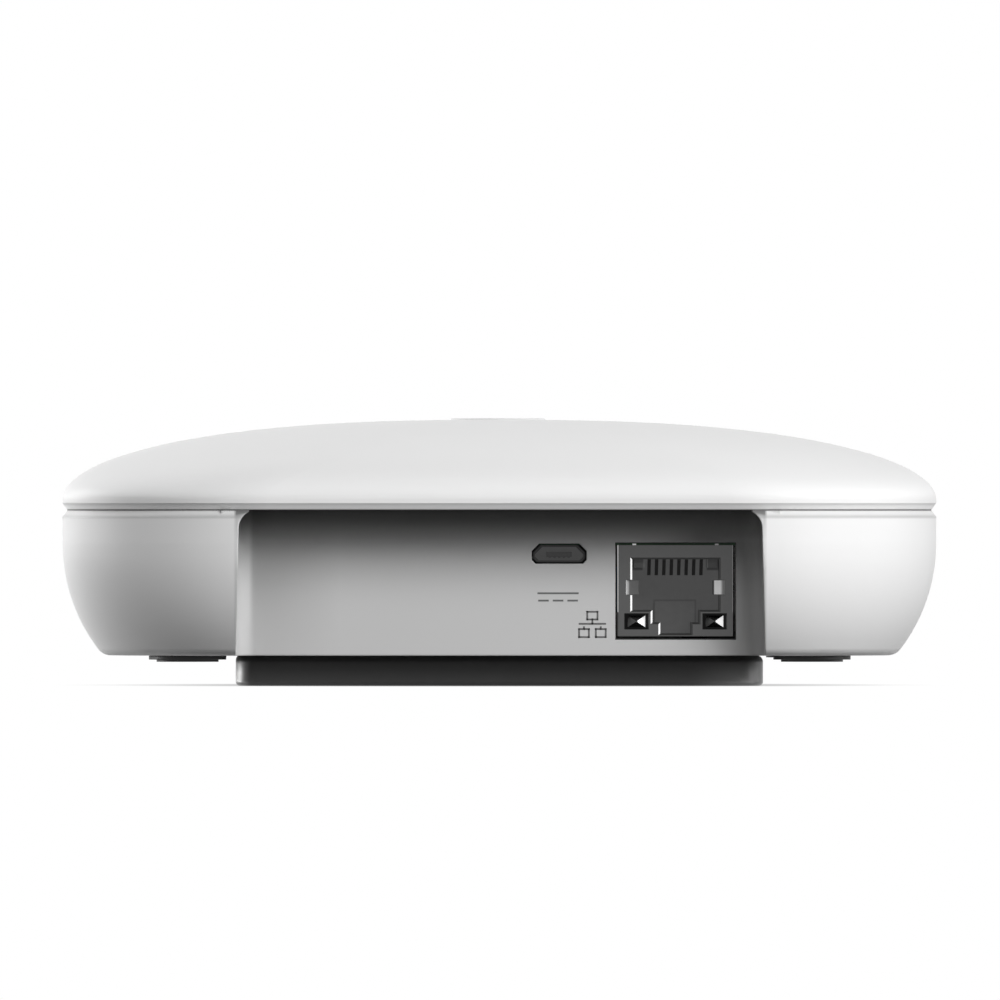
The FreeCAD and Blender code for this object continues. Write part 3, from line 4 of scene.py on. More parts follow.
import bmesh
import bpy
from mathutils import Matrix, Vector


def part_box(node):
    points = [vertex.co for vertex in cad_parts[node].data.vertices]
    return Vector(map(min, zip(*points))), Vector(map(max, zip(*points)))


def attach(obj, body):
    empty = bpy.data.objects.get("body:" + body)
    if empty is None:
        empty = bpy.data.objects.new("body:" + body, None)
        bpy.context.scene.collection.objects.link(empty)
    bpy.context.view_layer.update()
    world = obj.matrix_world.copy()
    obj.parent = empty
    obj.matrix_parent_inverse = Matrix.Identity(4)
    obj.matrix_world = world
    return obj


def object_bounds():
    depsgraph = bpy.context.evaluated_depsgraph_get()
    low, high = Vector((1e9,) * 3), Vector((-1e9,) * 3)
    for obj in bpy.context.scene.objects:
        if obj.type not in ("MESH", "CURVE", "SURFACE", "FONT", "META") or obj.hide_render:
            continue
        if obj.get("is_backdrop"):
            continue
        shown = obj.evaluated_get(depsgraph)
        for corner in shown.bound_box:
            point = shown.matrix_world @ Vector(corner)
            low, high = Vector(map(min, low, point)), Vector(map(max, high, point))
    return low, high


# Looks for the alarm hub, seen straight from behind: satin white housing, dark bracket and
# feet, grey sockets in the recess, thin printed signs on the recess wall. Much of the shade in
# the recess and of the light on the sockets is painted into their colours. Metres.

MM = 0.001


# Frame and named places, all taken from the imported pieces

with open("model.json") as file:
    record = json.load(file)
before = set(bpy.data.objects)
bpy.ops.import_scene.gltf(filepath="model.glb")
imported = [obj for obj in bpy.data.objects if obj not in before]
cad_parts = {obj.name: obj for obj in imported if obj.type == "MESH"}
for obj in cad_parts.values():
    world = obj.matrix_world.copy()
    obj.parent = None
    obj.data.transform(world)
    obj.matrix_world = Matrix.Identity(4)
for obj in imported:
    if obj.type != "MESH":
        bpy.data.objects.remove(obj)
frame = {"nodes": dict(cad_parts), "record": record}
size_at_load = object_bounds()


def as_list(value):
    """Plain nested lists of numbers."""
    if hasattr(value, "__len__"):
        return [as_list(item) for item in value]
    return float(value)


def low_high(node):
    """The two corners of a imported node."""
    low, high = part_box(node)
    return Vector(low), Vector(high)


COVER_LOW, _ = low_high("top_cover")
CASING_LOW, _ = low_high("base_housing")
BRACKET_LOW, BRACKET_HIGH = low_high("wall_bracket")
LAN_LOW, LAN_HIGH = low_high("network_socket_shield")
POWER_LOW, _ = low_high("power_socket_shell")
LAN_MIDDLE = (LAN_LOW.x + LAN_HIGH.x) / 2
SOCKET_SETBACK = 0.5 * MM
WALL_FACE = LAN_LOW.y - SOCKET_SETBACK
SEAM_HEIGHT = COVER_LOW.z
# The slab of the bracket ends at the casing's underside; only its hooks reach higher
SLAB_TOP = CASING_LOW.z


# Shader maths

# The rays that see the white background; diffuse light comes from the lamps instead
BACKGROUND_RAYS = ("Is Camera Ray", "Is Glossy Ray", "Is Transmission Ray")
# Noise scales: broad mottling, fine grain, and the unevenness of thin sheet, lens and floor
MOTTLE_SCALE = 160.0
GRAIN_SCALE = 9000.0
SHEET_SCALE = 900.0
LENS_SCALE = 700.0
FLOOR_SCALE = 40.0
# The grain's depth, and how far it moves the roughness up and down
GRAIN_DEPTH = 0.01 * MM
GLOSS_SPREAD = 0.05
BEVEL_SAMPLES = 8


class Socket:
    """A shader output that can be added, multiplied and passed on."""

    def __init__(self, owner, output):
        self.owner = owner
        self.output = output

    def math(self, operation, other=None):
        return self.owner.node("ShaderNodeMath", {"operation": operation}, [self, other])

    def __add__(self, other):
        return self.math("ADD", other)

    def __sub__(self, other):
        return self.math("SUBTRACT", other)

    def __rsub__(self, other):
        return self * -1.0 + other

    def __mul__(self, other):
        return self.math("MULTIPLY", other)

    __radd__ = __add__
    __rmul__ = __mul__

    def between(self, low, high):
        """Stretch 0..1 to low..high."""
        return self * (high - low) + low

    def ramp(self, start, stop, low=0.0, high=1.0):
        """Run from low to high while this value runs from start to stop, and hold outside."""
        return self.owner.node("ShaderNodeMapRange", inputs=[self, start, stop, low, high])

    def size(self):
        """The value without its sign."""
        return self.math("ABSOLUTE")


class Tree:
    """The nodes of a material or a world, all added by one method."""

    def __init__(self, data):
        self.data = data
        self.data.use_nodes = True
        self.tree = data.node_tree

    def node(self, kind, settings=None, inputs=(), output=0):
        """Add a node, set it up and link or fill its inputs in order."""
        item = self.tree.nodes.new(kind)
        for key, value in (settings or {}).items():
            setattr(item, key, value)
        pairs = inputs.items() if isinstance(inputs, dict) else enumerate(inputs)
        for key, value in pairs:
            if value is None:
                continue
            if isinstance(value, Socket):
                self.tree.links.new(value.output, item.inputs[key])
            else:
                item.inputs[key].default_value = value
        return Socket(self, item.outputs[output])

    def background_rays(self):
        """1 for a ray that sees the white background, 0 for one that carries diffuse light."""
        path = self.tree.nodes.new("ShaderNodeLightPath")
        camera, glossy, through = [Socket(self, path.outputs[ray]) for ray in BACKGROUND_RAYS]
        return camera.math("MAXIMUM", glossy).math("MAXIMUM", through)

    def surface(self, factor, first, second, end):
        """Blend two shaders by a factor, and make that the surface."""
        blend = self.node("ShaderNodeMixShader", inputs=[factor, first, second])
        self.tree.links.new(blend.output, self.tree.nodes[end].inputs["Surface"])


class Look(Tree):
    """A material whose principled shader is fed by small procedural patterns."""

    def __init__(self, name, **constants):
        super().__init__(bpy.data.materials.new(name))
        self.shader = self.tree.nodes["Principled BSDF"]
        for key, value in constants.items():
            self.shader.inputs[key.replace("_", " ")].default_value = value

    def feed(self, name, socket):
        self.tree.links.new(socket.output, self.shader.inputs[name])

    def glow(self, level):
        """Paint light on as a grey. It is fixed, and doesn't follow the lamps."""
        self.feed("Emission Color", self.tone(level))
        self.shader.inputs["Emission Strength"].default_value = 1.0

    def place(self):
        return self.node("ShaderNodeTexCoord", output="Object")

    def facing(self):
        """The way that the surface faces, before bumps and bevels."""
        return self.node("ShaderNodeNewGeometry", output="Normal")

    def noise(self, scale, detail=2.0):
        return self.node("ShaderNodeTexNoise", inputs={
            "Vector": self.place(), "Scale": scale, "Detail": detail})

    def mottle(self):
        """The broad unevenness of a moulded surface."""
        return self.noise(MOTTLE_SCALE, 3.0)

    def mix(self, factor, first, second):
        """Blend two colours by a factor."""
        return self.node("ShaderNodeMix", {"data_type": "RGBA"},
                         {0: factor, 6: first, 7: second}, output=2)

    def bump(self, height, strength, distance, normal=None):
        return self.node("ShaderNodeBump", inputs={
            "Height": height, "Strength": strength, "Distance": distance, "Normal": normal})

    def texture(self, roughness, strength, scale=GRAIN_SCALE, normal=None):
        """A fine grain, which also varies the gloss a little."""
        fine = self.noise(scale)
        self.feed("Roughness", fine.between(roughness - GLOSS_SPREAD, roughness + GLOSS_SPREAD))
        self.feed("Normal", self.bump(fine, strength, GRAIN_DEPTH, normal))

    def soft_edges(self, radius):
        return self.node("ShaderNodeBevel", {"samples": BEVEL_SAMPLES}, {"Radius": radius})

    def parts(self, vector):
        """The x, y and z parts of a vector."""
        split = self.node("ShaderNodeSeparateXYZ", inputs=[vector]).output.node
        return [Socket(self, part) for part in split.outputs]

    def tone(self, value):
        """A grey whose level is a shader value."""
        return self.node("ShaderNodeCombineColor", inputs=[value, value, value])


def grey(level, tint=(0.0, 0.0, 0.0)):
    return (level + tint[0], level + tint[1], level + tint[2], 1.0)


def moulded(name, level, roughness, spread=0.03, grain=0.25, edge=0.0, specular=0.5,
            grain_scale=GRAIN_SCALE, tint=(0.0, 0.0, 0.0), **constants):
    """Plain plastic, rubber or metal: slight mottling, fine grain and, if asked, soft edges."""
    look = Look(name, Specular_IOR_Level=specular, **constants)
    pale = grey(min(level * (1 + spread), 1.0), tint)
    deep = grey(level * (1 - spread), tint)
    look.feed("Base Color", look.mix(look.mottle(), deep, pale))
    look.texture(roughness, grain, grain_scale, look.soft_edges(edge) if edge else None)
    return look.data


# The white housing. A pair of places says where a painted shade starts and stops changing.

WHITE_LEVEL = 0.80
WHITE_SPECULAR = 0.12
WHITE_ROUGHNESS = 0.42
WHITE_GRAIN = 0.15
WHITE_MOTTLE = 0.005
CASING_EDGE = 0.35 * MM
# The seam between cover and casing, painted: shade in its gap, shade on the casing's bevel,
# a highlight on the cover's bevel, and the share left at the bevels' far ends
SEAM_GAP_SHADE = 0.2
CASING_BEVEL_SHADE = 0.803
COVER_BEVEL_HIGHLIGHT = 1.232
BEVEL_END_SHARE = 0.8
# The cable recess is painted grey as shade: that grey, the share of it left under its roof
# as deeper painted shade, and where both change. The roof itself is a part of the cover.
RECESS_SHADE_LEVEL = 0.55
RECESS_HALF = BRACKET_HIGH.x + 0.1 * MM
RECESS_SIDE = (RECESS_HALF + 0.2 * MM, RECESS_HALF - 0.2 * MM)
RECESS_MOUTH = (COVER_LOW.y + 0.1 * MM, COVER_LOW.y + 0.6 * MM)
RECESS_BACK = (WALL_FACE + 1.5 * MM, WALL_FACE + 0.5 * MM)
ROOF_SHADE_SHARE = 0.25
ROOF_SHADE_FADE = (SEAM_HEIGHT - 0.15 * MM, SEAM_HEIGHT - 4.15 * MM)
ROOF_BACK = (WALL_FACE + 2.5 * MM, WALL_FACE + 1.5 * MM)
ROOF_TOP = (SEAM_HEIGHT + 0.25 * MM, SEAM_HEIGHT + 0.15 * MM)
# Painted shade in the windows in the recess wall and in the gap in it round the network
# socket's shield
WINDOW_DEPTH = (WALL_FACE + 0.05 * MM, WALL_FACE + 0.15 * MM)
GAP_SHADE = 0.05
GAP_BLUR = 0.03 * MM
GAP_LEFT, GAP_RIGHT = LAN_LOW.x - 0.42 * MM, LAN_HIGH.x + 0.43 * MM
GAP_LOW, GAP_HIGH = LAN_LOW.z - 0.47 * MM, LAN_HIGH.z + 0.37 * MM
# Painted shade on the left part of the recess wall, deeper higher up
LEFT_SHADE = 0.3
LEFT_START = (-34.4 * MM, -33.8 * MM)
LEFT_FADE = (-33.0 * MM, -22.0 * MM)
LEFT_RISE = (5.0 * MM, 14.0 * MM)
LEFT_FOOT_SHARE = 0.3


def seam_shade_and_highlight(height, bevel):
    """Painted shade towards the bottom of the seam, where the gap between cover and casing is.

    Outside the gap the bevel takes the given factor: painted shade below 1, a painted highlight
    above it. This falls towards the bevel's far end and is 1 on the wall beyond it."""
    away = (height - SEAM_HEIGHT).size()
    gap = away.ramp(0.03 * MM, 0.2 * MM, SEAM_GAP_SHADE, bevel)
    far_end = away.ramp(0.5 * MM, 0.85 * MM, 1.0, BEVEL_END_SHARE)
    wall = away.ramp(0.95 * MM, 1.25 * MM, 1.0, 1.0 / (BEVEL_END_SHARE * bevel))
    return gap * far_end * wall


def satin(look, level, normal=None):
    """The finish that cover and casing share."""
    mottle = look.mottle().between(-WHITE_MOTTLE, WHITE_MOTTLE)
    look.feed("Base Color", look.tone(level + mottle))
    look.texture(WHITE_ROUGHNESS, WHITE_GRAIN, normal=normal)
    return look.data


def outside_gap(across, height):
    """How far a place on the recess wall lies outside the gap round the network socket."""
    aside = (across - (GAP_LEFT + GAP_RIGHT) / 2).size() - (GAP_RIGHT - GAP_LEFT) / 2
    above = (height - (GAP_LOW + GAP_HIGH) / 2).size() - (GAP_HIGH - GAP_LOW) / 2
    return aside.math("MAXIMUM", above)


def casing_look():
    """Satin white outside, with painted shade along the seam. The cable recess is painted grey
    as shade, darkest in its windows and in the gap round the network socket, and darker under
    its roof and on its left."""
    look = Look("satin_white", Specular_IOR_Level=WHITE_SPECULAR)
    across, along, height = look.parts(look.place())
    inside = across.size().ramp(*RECESS_SIDE)
    inside = inside * along.ramp(*RECESS_MOUTH) * along.ramp(*RECESS_BACK)
    # Painted shade: the recess's grey, deeper towards its roof
    recess_shade = height.ramp(*ROOF_SHADE_FADE, ROOF_SHADE_SHARE * RECESS_SHADE_LEVEL, RECESS_SHADE_LEVEL)
    # Painted shade in the windows and in the gap round the network socket
    dark = along.ramp(*WINDOW_DEPTH, 1.0, GAP_SHADE)
    dark = dark * outside_gap(across, height).ramp(-GAP_BLUR, GAP_BLUR, GAP_SHADE, 1.0)
    # Painted shade on the left of the recess wall, deeper higher up
    left = across.ramp(*LEFT_START) * across.ramp(*LEFT_FADE, LEFT_SHADE, 0.0)
    dark = dark * (1.0 - left * height.ramp(*LEFT_RISE, LEFT_FOOT_SHARE, 1.0))
    # Painted shade along the seam on the casing's side
    white_wall = seam_shade_and_highlight(height, CASING_BEVEL_SHADE) * WHITE_LEVEL
    level = inside * recess_shade * dark + (1.0 - inside) * white_wall
    return satin(look, level, look.soft_edges(CASING_EDGE))


def cover_look():
    """Satin white, with painted shade in the seam's gap and a painted highlight on its bevel,
    and the roof over the cable recess painted in the recess's grey as shade.
    """
    look = Look("satin_white_dome", Specular_IOR_Level=WHITE_SPECULAR)
    _, along, height = look.parts(look.place())
    upward = look.parts(look.facing())[2]
    # Painted shade on the underside over the recess
    roof_shade = upward.ramp(-0.8, -0.95) * along.ramp(*ROOF_BACK) * height.ramp(*ROOF_TOP)
    level = roof_shade.between(WHITE_LEVEL, RECESS_SHADE_LEVEL) * seam_shade_and_highlight(height, COVER_BEVEL_HIGHLIGHT)
    return satin(look, level)


# The dark bracket

SLAB_EDGE = 0.5 * MM
COAT_SHARE = 0.9
METAL_SHARE = 0.9
# The radii to which a bump bends the slab's rear face, downwards and towards its right end
FACE_RADIUS = 22 * MM
END_RADIUS = 25 * MM
END_START = 26.0 * MM


def bracket_look():
    """Dark plastic, duller under the hub and glossier lower down and at its two ends.

    The metallic ends and the tilt by a bump stand in for soft highlights on plain plastic."""
    look = Look("bracket_plastic", Specular_IOR_Level=0.12, Coat_Roughness=0.35)
    across, along, height = look.parts(look.place())
    lower = height.ramp(3.9 * MM, 0.4 * MM)
    ends = across.size().ramp(33.5 * MM, 35.5 * MM)
    look.feed("Coat Weight", (lower * COAT_SHARE).math("MAXIMUM", ends))
    rear = along.ramp(BRACKET_LOW.y + 3.0 * MM, BRACKET_LOW.y + 2.0 * MM)
    right = across.ramp(26.5 * MM, 34.5 * MM) * height.ramp(3.6 * MM, 1.0 * MM)
    left = across.ramp(-34.3 * MM, -35.0 * MM)
    look.feed("Metallic", (right + left) * rear * METAL_SHARE)
    look.feed("Base Color", look.mix(look.mottle(), grey(0.10), grey(0.12)))
    fall = (across - END_START).math("MAXIMUM", 0.0)
    drop = SLAB_TOP - height
    shape = drop * drop * (0.5 / FACE_RADIUS) - fall * fall * (0.5 / END_RADIUS)
    tilted = look.bump(shape, 1.0, 1.0, look.soft_edges(SLAB_EDGE))
    look.texture(0.40, 0.2, normal=tilted)
    return look.data


# The sockets. Little light reaches into them, so part of it is painted on.

# The top of the windows round the network socket's two lamps
LAMP_WINDOW_TOP = (10.2 * MM, 10.1 * MM)
# The slot for the plug's latch: half its width, and its top
LATCH_HALF, LATCH_TOP = 2.82 * MM, 11.76 * MM
SHIELD_EDGE = 0.12 * MM
# The share of a level that is painted on as light, and that of the shield's own paint
SHIELD_GLOW, INSERT_GLOW, SPRING_GLOW = 0.85, 0.8, 0.6
SHIELD_PAINT = 0.35
POWER_END_LEVEL = 0.05


def lamp_windows(reach, height, start):
    """1 round the lamps at the foot of the network socket, 0 elsewhere on its face."""
    return reach.size().ramp(start, start + 0.1 * MM) * height.ramp(*LAMP_WINDOW_TOP)


def shield_look():
    """Dull sheet whose light is painted on and mostly glows: a painted highlight on the bevels
    that face right and painted shade on the others.

    Round the lamps no bevel has a highlight, and those of the outer rim get a grey painted
    highlight on both sides."""
    look = Look("socket_shield", Roughness=0.5, Specular_IOR_Level=0.25)
    side, _, rise = look.parts(look.soft_edges(SHIELD_EDGE))
    across, _, height = look.parts(look.place())
    reach = across - LAN_MIDDLE
    lamps = lamp_windows(reach, height, 3.4 * MM)
    rim = reach.size().ramp(7.2 * MM, 7.6 * MM)
    sheet = look.noise(SHEET_SCALE).between(0.062, 0.068)
    # Painted highlights on bevels facing right, painted shade on those facing left, and a grey
    # painted highlight on the rim's bevels
    lit = side.ramp(0.3, 0.65, 0.0, 0.9) * (1.0 - lamps)
    unlit = side.ramp(-0.3, -0.65, 0.0, -0.03)
    edge = side.size().ramp(0.2, 0.7, 0.0, 0.35)
    level = sheet + (lit + unlit) * (1.0 - rim) + edge * rim
    # Painted shade on bevels facing up or down and on those round the lamps
    level = level * rise.size().ramp(0.35, 0.65, 1.0, 0.3)
    level = level * (1.0 - lamps * side.size().ramp(0.2, 0.5, 0.0, 0.85))
    look.feed("Base Color", look.tone(level * SHIELD_PAINT))
    look.glow(level * SHIELD_GLOW)
    return look.data


def nylon_look():
    """The insert behind the shield, its light and shade painted on and mostly glowing: grey
    where it faces the rear, painted shade on its walls, at its upper corners and in a thin line
    round the latch's slot, and painted shade, near black, round the lamps."""
    look = Look("socket_insert", Roughness=0.6, Specular_IOR_Level=0.2)
    forward = look.parts(look.facing())[1]
    across, _, height = look.parts(look.place())
    reach = across - LAN_MIDDLE
    lamps = lamp_windows(reach, height, 3.5 * MM)
    # Painted shade round the latch's slot, at the upper corners, on the walls and round the
    # lamps
    latch_line_shade = (reach.size() - LATCH_HALF).math("MAXIMUM", height - LATCH_TOP).size()
    upper_corner_shade = reach.size().ramp(4.3 * MM, 4.5 * MM) * height.ramp(15.8 * MM, 16.0 * MM)
    level = look.noise(SHEET_SCALE).between(0.07, 0.08) * forward.ramp(-0.4, -0.9, 0.35, 1.0)
    level = level * upper_corner_shade.between(1.0, 0.45) * lamps.between(1.0, 0.12)
    level = level * latch_line_shade.ramp(0.08 * MM, 0.16 * MM, 0.78, 1.0)
    look.feed("Base Color", look.tone(level))
    look.glow(level * INSERT_GLOW)
    return look.data


def spring_look():
    """Side springs and top tabs: painted bright where the photo shows them lit."""
    look = Look("spring_sheet", Roughness=0.4, Specular_IOR_Level=0.3)
    across, _, height = look.parts(look.place())
    reach = across - LAN_MIDDLE
    right = reach.ramp(5.25 * MM, 5.35 * MM) * reach.ramp(6.15 * MM, 6.5 * MM, 1.0, 0.15)
    left = reach.ramp(-4.7 * MM, -4.9 * MM)
    left_edge = reach.ramp(-6.3 * MM, -6.45 * MM)
    sides = right * 0.5 + left_edge * 0.17 + left * 0.045
    tabs = reach.ramp(-1.0 * MM, 1.0 * MM, 0.6, 0.2)
    top = height.ramp(LAN_HIGH.z - 0.3 * MM, LAN_HIGH.z)
    sheet = look.noise(SHEET_SCALE).between(0.03, 0.05)
    level = sides * (1.0 - top) + tabs * top + sheet
    look.feed("Base Color", look.tone(level))
    look.glow(level * SPRING_GLOW)
    return look.data


def power_look():
    """Folded shell: dark walls and a grey end, which also glows as painted light."""
    look = Look("power_sheet", Roughness=0.45, Specular_IOR_Level=0.3)
    forward = look.parts(look.facing())[1]
    depth = look.parts(look.place())[1]
    end = depth.ramp(POWER_LOW.y + 0.5 * MM, POWER_LOW.y + 1.0 * MM)
    back_wall = forward.ramp(-0.4, -0.9) * end * POWER_END_LEVEL
    sheet = look.noise(SHEET_SCALE).between(0.012, 0.02)
    look.feed("Base Color", look.tone(sheet + back_wall))
    look.glow(back_wall)
    return look.data


def lens_look():
    """Moulded lens: its facets get a painted highlight, which glows, where they face right, a
    dimmer painted light where they face left, and stay dark above and below.
    """
    look = Look("lamp_lens", Roughness=0.2, Specular_IOR_Level=0.5)
    side = look.parts(look.facing())[0]
    level = side.ramp(0.3, 0.5, 0.0, 0.9) + side.ramp(-0.3, -0.6, 0.0, 0.16)
    level = level + look.noise(LENS_SCALE).between(0.015, 0.03)
    look.feed("Base Color", look.tone(level))
    look.glow(side.ramp(0.3, 0.5, 0.0, 0.7))
    return look.data


# The looks, and which piece gets which

WHITE = casing_look()
DOME_WHITE = cover_look()
BUTTON_WHITE = moulded("button_white", 0.72, 0.4, spread=0.01, edge=0.15 * MM, specular=0.2)
GUIDE = moulded("light_guide", 0.82, 0.25, spread=0.01)
BRACKET = bracket_look()
RUBBER = moulded("foot_rubber", 0.012, 0.45, spread=0.1, edge=0.15 * MM, specular=0.3)
BLACK = moulded("black_plastic", 0.02, 0.45, spread=0.1)
SOCKET_GREY = moulded("grey_nylon", 0.075, 0.5, spread=0.04)
STEEL = moulded("plated_sheet", 0.35, 0.3, spread=0.04, edge=0.08 * MM, Metallic=1.0)
# Near black in place of the contacts' gold: painted shade deep inside the sockets
SHADED_CONTACT_STEEL = moulded("dark_sheet", 0.02, 0.35, spread=0.1)
GOLD = moulded("gold_contact", 0.45, 0.3, tint=(0.2, 0.05, -0.2), Metallic=1.0)
BOARD = moulded("circuit_board", 0.03, 0.4, spread=0.15, tint=(-0.02, 0.05, -0.01))
WRAP = moulded("battery_wrap", 0.10, 0.3, spread=0.05, tint=(-0.05, 0.0, 0.15))
BRASS = moulded("brass_disc", 0.5, 0.3, tint=(0.15, 0.03, -0.2), Metallic=1.0)
FOAM = moulded("foam", 0.06, 0.8, spread=0.2, grain=0.8, grain_scale=2500.0)
PRINT = moulded("printed_sign", 0.13, 0.5, spread=0.05, specular=0.2)
SHIELD = shield_look()
NYLON = nylon_look()
SPRINGS = spring_look()
POWER_STEEL = power_look()
LENS = lens_look()

SLOT_LOOKS = {
    "white_cover": DOME_WHITE,
    "white_casing": WHITE,
    "bracket_plastic": BRACKET,
    "button_white": BUTTON_WHITE,
    "light_guide": GUIDE,
    "circuit_board": BOARD,
    "screw_steel": STEEL,
    "black_plastic": BLACK,
    "lamp_body": GUIDE,
    "foot_rubber": RUBBER,
    "socket_shield": SHIELD,
    "socket_plastic": SOCKET_GREY,
    "socket_steel": POWER_STEEL,
    "gold_contact": GOLD,
    "lamp_lens": LENS,
    "shield_tin": STEEL,
    "capacitor_can": STEEL,
    "battery_wrap": WRAP,
    "foam": FOAM,
    "brass_disc": BRASS,
}

NODE_LOOKS = {
    "network_socket_insert": NYLON,
    "network_socket_contacts": SHADED_CONTACT_STEEL,
    "network_socket_springs": SPRINGS,
    "power_socket_contacts": SHADED_CONTACT_STEEL,
}


def dress_nodes():
    """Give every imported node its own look, or that of its material slot."""
    slots = {part["node"]: part["material_slot"] for part in frame["record"]["subparts"]}
    for node, item in frame["nodes"].items():
        item.data.materials.clear()
        item.data.materials.append(NODE_LOOKS.get(node, SLOT_LOOKS[slots[node]]))


dress_nodes()


# Printed signs on the recess wall

SIGN_LINE = 0.25 * MM
SIGN_DEPTH = 0.015 * MM
NETWORK_SIGN = (12.65 * MM, 8.57 * MM)
POWER_SIGN = (7.95 * MM, 12.25 * MM)


def strip_mesh(name, lines, thickness, depth):
    """Flat bars along 2-D lines (x, z) on the recess wall, as one mesh."""
    mesh = bpy.data.meshes.new(name)
    work = bmesh.new()
    for start, end in lines:
        first, last = Vector(start), Vector(end)
        along = (last - first).normalized() * thickness / 2
        across = Vector((-along.y, along.x))
        corners = [first - along - across, last + along - across,
                   last + along + across, first - along + across]
        front = [work.verts.new((c.x, WALL_FACE - depth, c.y)) for c in corners]
        back = [work.verts.new((c.x, WALL_FACE + depth, c.y)) for c in corners]
        work.faces.new(front[::-1])
        for number in range(4):
            after = (number + 1) % 4
            work.faces.new((front[number], front[after], back[after], back[number]))
    bmesh.ops.recalc_face_normals(work, faces=work.faces)
    work.to_mesh(mesh)
    work.free()
    item = bpy.data.objects.new(name, mesh)
    bpy.context.scene.collection.objects.link(item)
    return item


def box_lines(x, z, width, height):
    left, right, low, high = x - width / 2, x + width / 2, z - height / 2, z + height / 2
    return [((left, low), (right, low)), ((right, low), (right, high)),
            ((right, high), (left, high)), ((left, high), (left, low))]


def network_lines(x, z):
    """One box above a line, on a stem, and two boxes with short stems below it."""
    upper, lower, aside = z + 1.12 * MM, z - 1.27 * MM, 1.15 * MM
    bar, foot_height = 1.75 * MM, 1.1 * MM
    lines = box_lines(x, upper, 1.4 * MM, 1.05 * MM)
    lines += [((x - bar, z), (x + bar, z)), ((x, z), (x, upper - 0.5 * MM))]
    for middle in (x - aside, x + aside):
        lines += box_lines(middle, lower, 1.35 * MM, foot_height)
        lines.append(((middle, lower + foot_height / 2), (middle, lower + 0.8 * MM)))
    return lines


def power_lines(x, z):
    """A full line above three dashes, the general sign for direct current."""
    full, dash, pitch, rise = 2.7 * MM, 0.6 * MM, 2.0 * MM, 0.5 * MM
    lines = [((x - full, z + rise), (x + full, z + rise))]
    for middle in (x - pitch, x, x + pitch):
        lines.append(((middle - dash, z - rise), (middle + dash, z - rise)))
    return lines


def print_signs():
    signs = (("network_sign", network_lines(*NETWORK_SIGN)),
             ("power_sign", power_lines(*POWER_SIGN)))
    for name, lines in signs:
        sign = strip_mesh(name, lines, SIGN_LINE, SIGN_DEPTH)
        sign.data.materials.append(PRINT)
        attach(sign, "hub")


print_signs()


# Floor, light and camera

FLOOR_RADIUS = 350 * MM
FLOOR_SIDES = 64
FLOOR_BOUNCE = 0.14
# The shadow is paler than the lamps alone would make it, and gone at the second distance
SHADOW_REACH = (35 * MM, 62 * MM)
SHADOW_LIGHT = 0.5
# Keeps the floor out of the plane of the bracket's underside
FLOOR_GAP = 0.02 * MM


def make_floor():
    """A pale disc that keeps the shadow, reads as white and throws little light back."""
    work = bmesh.new()
    bmesh.ops.create_circle(work, cap_ends=True, segments=FLOOR_SIDES, radius=FLOOR_RADIUS)
    mesh = bpy.data.meshes.new("floor")
    work.to_mesh(mesh)
    work.free()
    floor = bpy.data.objects.new("floor", mesh)
    floor.location.z = -FLOOR_GAP
    bpy.context.scene.collection.objects.link(floor)
    look = Look("floor", Roughness=0.9, Specular_IOR_Level=0.0)
    seen = look.background_rays()
    pale = look.mix(look.noise(FLOOR_SCALE), grey(0.88), grey(0.9))
    look.feed("Base Color", look.mix(seen, grey(FLOOR_BOUNCE), pale))
    across, along, _ = look.parts(look.place())
    reach = (across * across + along * along).math("SQRT")
    share = seen * reach.ramp(*SHADOW_REACH, SHADOW_LIGHT, 1.0)
    shaded = Socket(look, look.shader.outputs[0])
    look.surface(share, shaded, look.node("ShaderNodeEmission"), "Material Output")
    mesh.materials.append(look.data)
    floor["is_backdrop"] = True


def make_world():
    """Plain white behind the hub and in its gloss. Diffuse light comes from the lamps."""
    world = Tree(bpy.data.worlds.new("studio"))
    unlit = world.tree.nodes["Background"]
    unlit.inputs["Strength"].default_value = 0.0
    dark = Socket(world, unlit.outputs[0])
    white = world.node("ShaderNodeBackground", inputs=[grey(1.0)])
    world.surface(world.background_rays(), dark, white, "World Output")
    bpy.context.scene.world = world.data


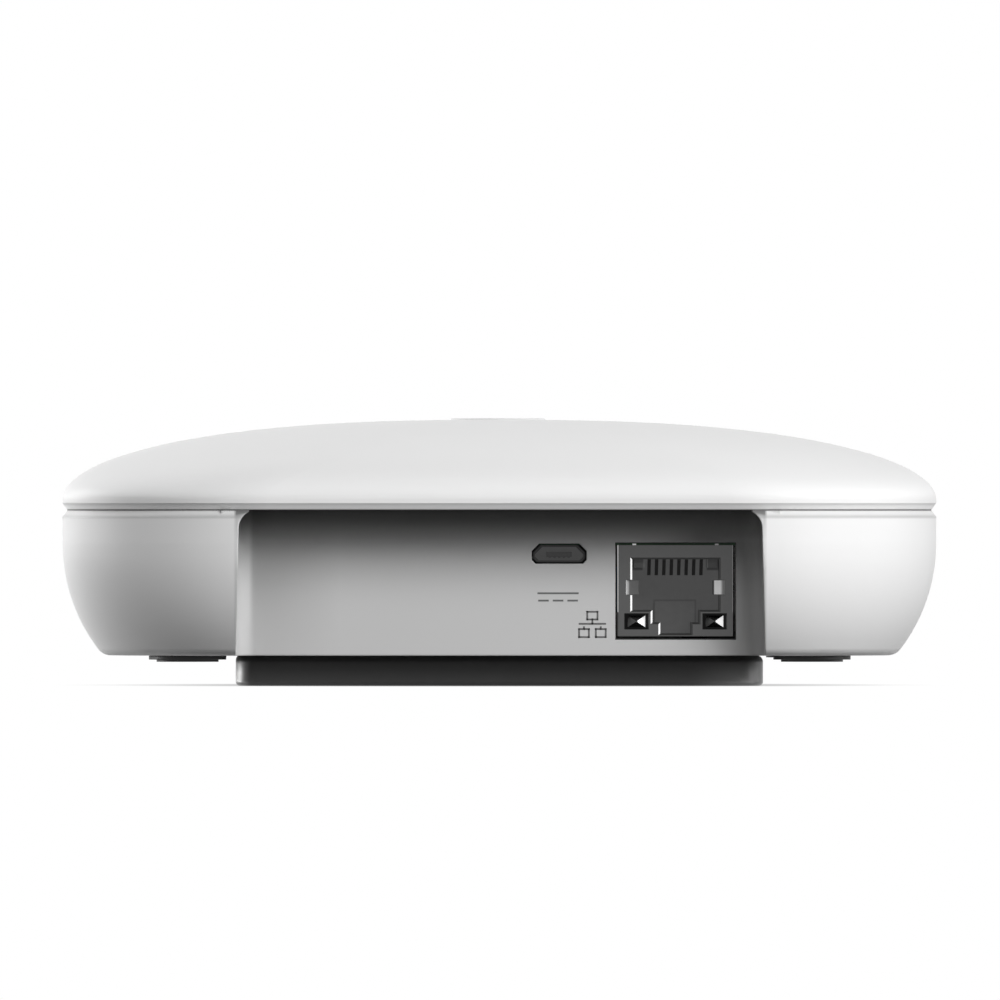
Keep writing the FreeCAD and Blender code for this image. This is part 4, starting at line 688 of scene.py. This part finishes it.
# name, azimuth from straight behind towards the right, elevation, height, watts
LAMPS = [
    ("key_right", 26, 31, 0.3, 2.08),
    ("key_right_outer", 38, 31, 0.3, 1.26),
    ("side_right", 48, 17, 0.3, 1.44),
    ("side_right_outer", 58, 17, 0.3, 0.78),
    ("side_right_low", 90, 3, 0.06, 0.48),
    ("rim_left", -120, 17, 0.3, 0.82),
    ("rim_left_high", -120, 31, 0.3, 0.76),
    ("rim_left_low", -105, 3, 0.06, 1.53),
    ("back_left", -135, 17, 0.3, 1.32),
    ("back_left_low", -135, 3, 0.06, 0.33),
    ("back_left_high", -150, 31, 0.3, 0.24),
    ("back", 180, 37, 0.3, 0.17),
    ("fill_left", -40, 31, 0.3, 0.58),
]
LAMP_WIDTH = 0.3
LAMP_DISTANCE = 0.7
LAMP_AIM = Vector((0.0, -0.03, 0.02))
CAMERA_AZIMUTH = -0.33
CAMERA_LENS = 1600.0
CAMERA_REACH = 20.0
# A pixel is this wide in the upright plane that lies this far behind the hub's middle
PIXEL = 0.1376 * MM
SCALE_PLANE = 20 * MM
# Where the picture shows the middle of the hub's underside, in pixels from its left and top
PICTURE = 1000
UNDERSIDE_ACROSS, UNDERSIDE_DOWN = 498.0, 685.5


def from_behind(azimuth, elevation):
    """The way from the hub to a place, measured from straight behind it, to the right and up."""
    turn, lift = math.radians(azimuth), math.radians(elevation)
    return Vector((math.sin(turn) * math.cos(lift), -math.cos(turn) * math.cos(lift),
                   math.sin(lift)))


def make_lamps():
    for name, azimuth, elevation, height, watts in LAMPS:
        data = bpy.data.lights.new(name, "AREA")
        data.shape = "RECTANGLE"
        data.size = LAMP_WIDTH
        data.size_y = height
        data.energy = watts
        way = from_behind(azimuth, elevation)
        lamp = bpy.data.objects.new(name, data)
        lamp.location = LAMP_AIM + way * LAMP_DISTANCE
        lamp.rotation_euler = (-way).to_track_quat("-Z", "Y").to_euler()
        bpy.context.scene.collection.objects.link(lamp)


def make_camera():
    """Level, almost straight from behind and so far away that little converges."""
    data = bpy.data.cameras.new("camera")
    data.lens = CAMERA_LENS
    data.clip_end = CAMERA_REACH
    middle = Vector(((PICTURE / 2 - UNDERSIDE_ACROSS) * PIXEL, 0.0,
                     (UNDERSIDE_DOWN - PICTURE / 2) * PIXEL))
    distance = PICTURE * PIXEL * data.lens / data.sensor_width + SCALE_PLANE
    camera = bpy.data.objects.new("camera", data)
    camera.location = middle + from_behind(CAMERA_AZIMUTH, 0) * distance
    camera.rotation_euler = (math.pi / 2, 0, math.radians(CAMERA_AZIMUTH))
    bpy.context.scene.collection.objects.link(camera)
    bpy.context.scene.camera = camera


make_floor()
make_world()
make_lamps()
make_camera()
bpy.context.scene.view_settings.view_transform = "Standard"

{"load": as_list(size_at_load), "finish": as_list(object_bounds())}
